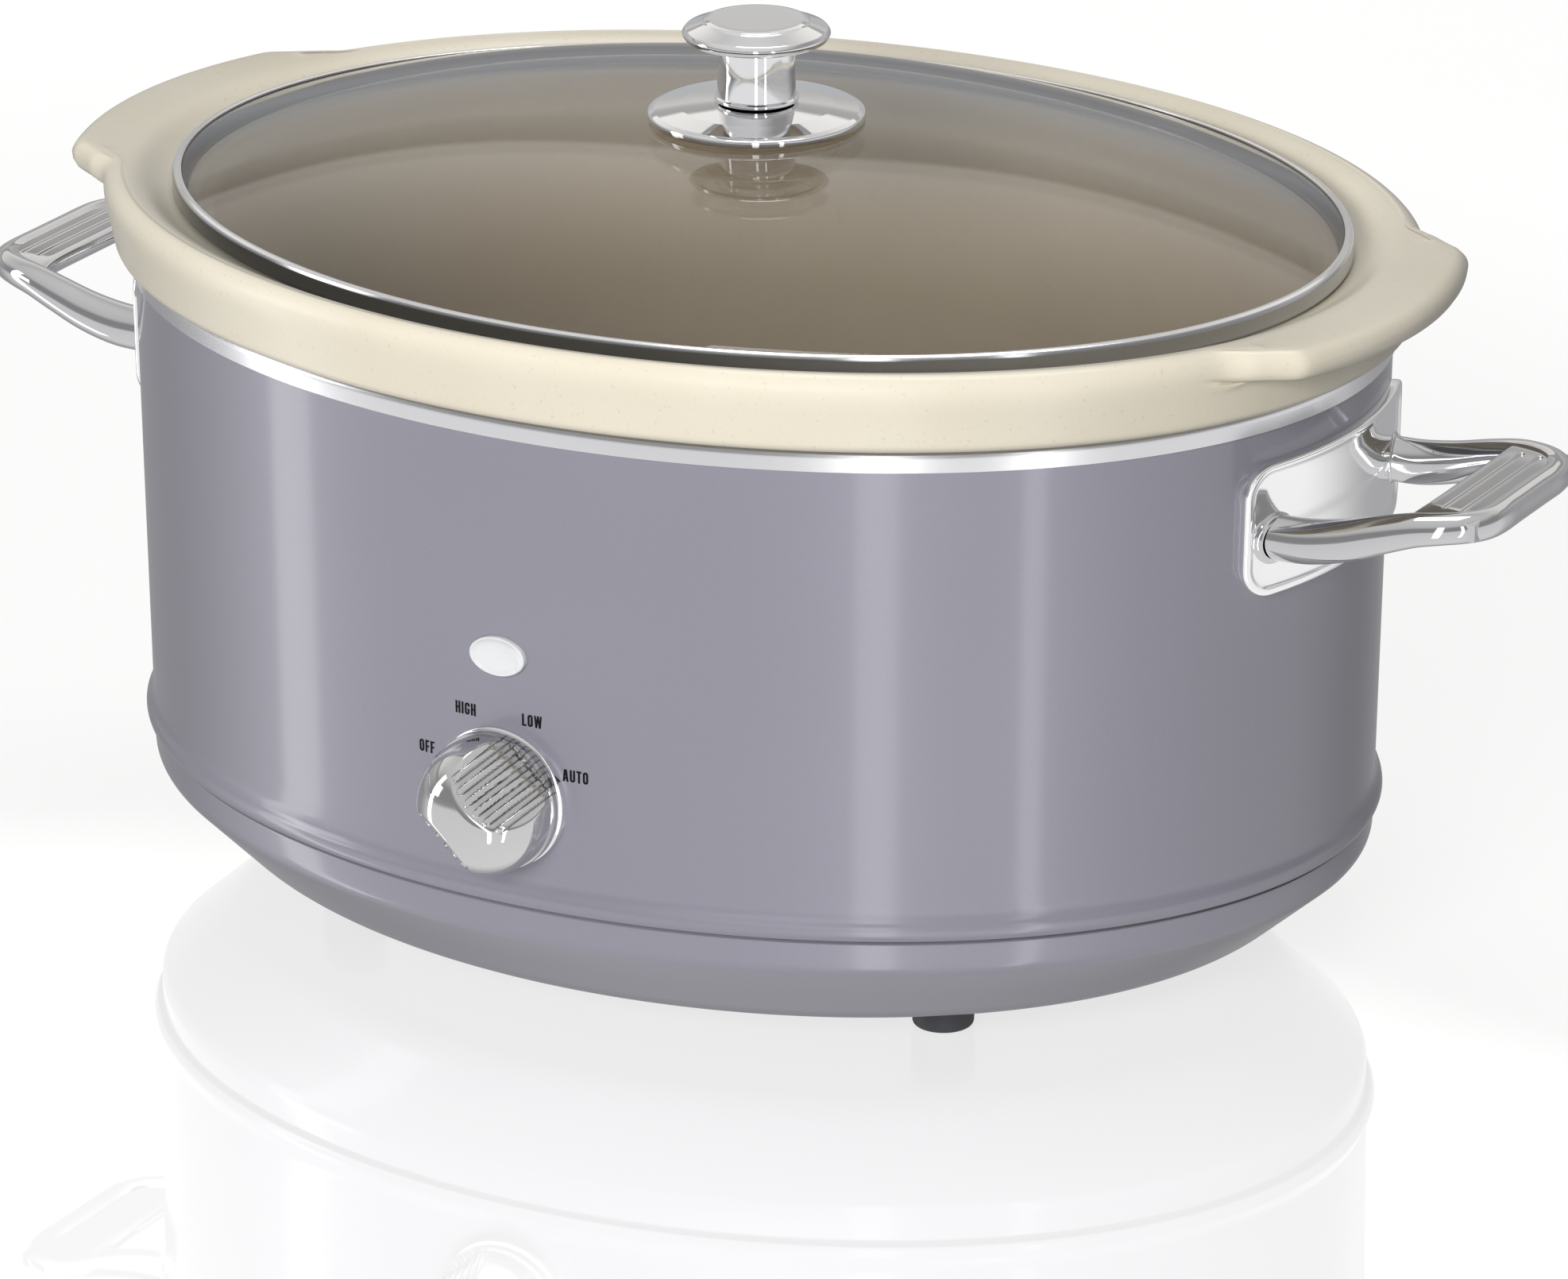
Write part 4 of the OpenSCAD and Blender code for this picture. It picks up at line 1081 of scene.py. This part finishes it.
def along(direction):
    """How far the looked-at direction points along a level direction."""
    return math_node(wt, "ADD", math_node(wt, "MULTIPLY", split.outputs["X"], direction[0]),
                     math_node(wt, "MULTIPLY", split.outputs["Y"], direction[1]))


def either(which, first, second):
    """Takes the first shader where the ray is not of a kind, the second where it is."""
    node = add("ShaderNodeMixShader")
    join(rays.outputs[which], node.inputs["Fac"])
    join(first, node.inputs[1])
    join(second, node.inputs[2])
    return node.outputs["Shader"]


VIEW_AZ = math.radians(119.0)     # level direction the camera looks in, from +X towards +Y
forward = along((math.cos(VIEW_AZ), math.sin(VIEW_AZ)))
sideways = math_node(wt, "MAXIMUM", along((math.sin(VIEW_AZ), -math.cos(VIEW_AZ))), 0.0)
height = math_node(wt, "SUBTRACT", split.outputs["Z"], math_node(wt, "MULTIPLY", sideways, 0.26))
level = world_range(height, -1.0, 1.0).outputs["Result"]
turn = world_range(forward, 0.12, 0.72)
turn.interpolation_type = "SMOOTHSTEP"
sky = add("ShaderNodeMix")
sky.data_type = "RGBA"
join(turn.outputs["Result"], sky.inputs["Factor"])
join(sky_ramp(BEFORE, level), sky.inputs["A"])
join(sky_ramp(BEHIND, level), sky.inputs["B"])
seen, lit, fill = backdrop((1, 1, 1)), backdrop((1, 1, 1)), backdrop((0.97, 0.98, 1.0), 0.22)
join(sky.outputs["Result"], lit.inputs["Color"])
rays = add("ShaderNodeLightPath")
shine = either("Is Glossy Ray", fill.outputs["Background"], lit.outputs["Background"])
whole = either("Is Camera Ray", shine, seen.outputs["Background"])
join(whole, add("ShaderNodeOutputWorld").inputs["Surface"])


def area(name, azimuth, height, distance, width, tall, power, aim=0.1, glossy=True, diffuse=True):
    """Soft light round the object: azimuth in degrees from +X towards +Y."""
    light = bpy.data.lights.new(name, "AREA")
    light.shape, light.size, light.size_y, light.energy = "RECTANGLE", width, tall, power
    obj = bpy.data.objects.new(name, light)
    scene.collection.objects.link(obj)
    a = math.radians(azimuth)
    obj.location = (distance * math.cos(a), distance * math.sin(a), height)
    obj.rotation_euler = (Vector((0, 0, aim)) - obj.location).to_track_quat("-Z", "Y").to_euler()
    obj.visible_camera, obj.visible_glossy, obj.visible_diffuse = False, glossy, diffuse


area("key_front", -79, 0.95, 2.3, 1.1, 0.8, 57, glossy=False)
area("key_left", -132, 0.85, 2.3, 1.0, 0.8, 3.0, glossy=False)
area("top", 100, 2.3, 0.3, 1.2, 1.0, 15)
area("window_left", -150, 0.48, 1.7, 0.40, 0.40, 1.3, diffuse=False)
area("strip_left", -156, -0.15, 1.7, 0.26, 2.6, 5.0, aim=-0.15, diffuse=False)
area("strip_mid", -62, -0.15, 1.7, 0.20, 2.6, 4.0, aim=-0.15)
area("strip_right", -35, -0.15, 1.7, 0.13, 2.6, 2.8, aim=-0.15, diffuse=False)

CAM_AT = (1.0791, -1.9321, 0.8985)
az, el = math.radians(29.0), math.radians(20.547)     # the direction the camera looks from
cam_data = bpy.data.cameras.new("camera")
cam = bpy.data.objects.new("camera", cam_data)
scene.collection.objects.link(cam)
back = Vector((math.sin(az) * math.cos(el), -math.cos(az) * math.cos(el), math.sin(el)))
right = Vector((math.cos(az), math.sin(az), 0))
up = back.cross(right)
cam.matrix_world = Matrix((*zip(right, up, back, CAM_AT), (0, 0, 0, 1)))
cam_data.lens, cam_data.sensor_width = 205.2, 36.0
cam_data.clip_start, cam_data.clip_end = 0.05, 50
scene.camera = cam
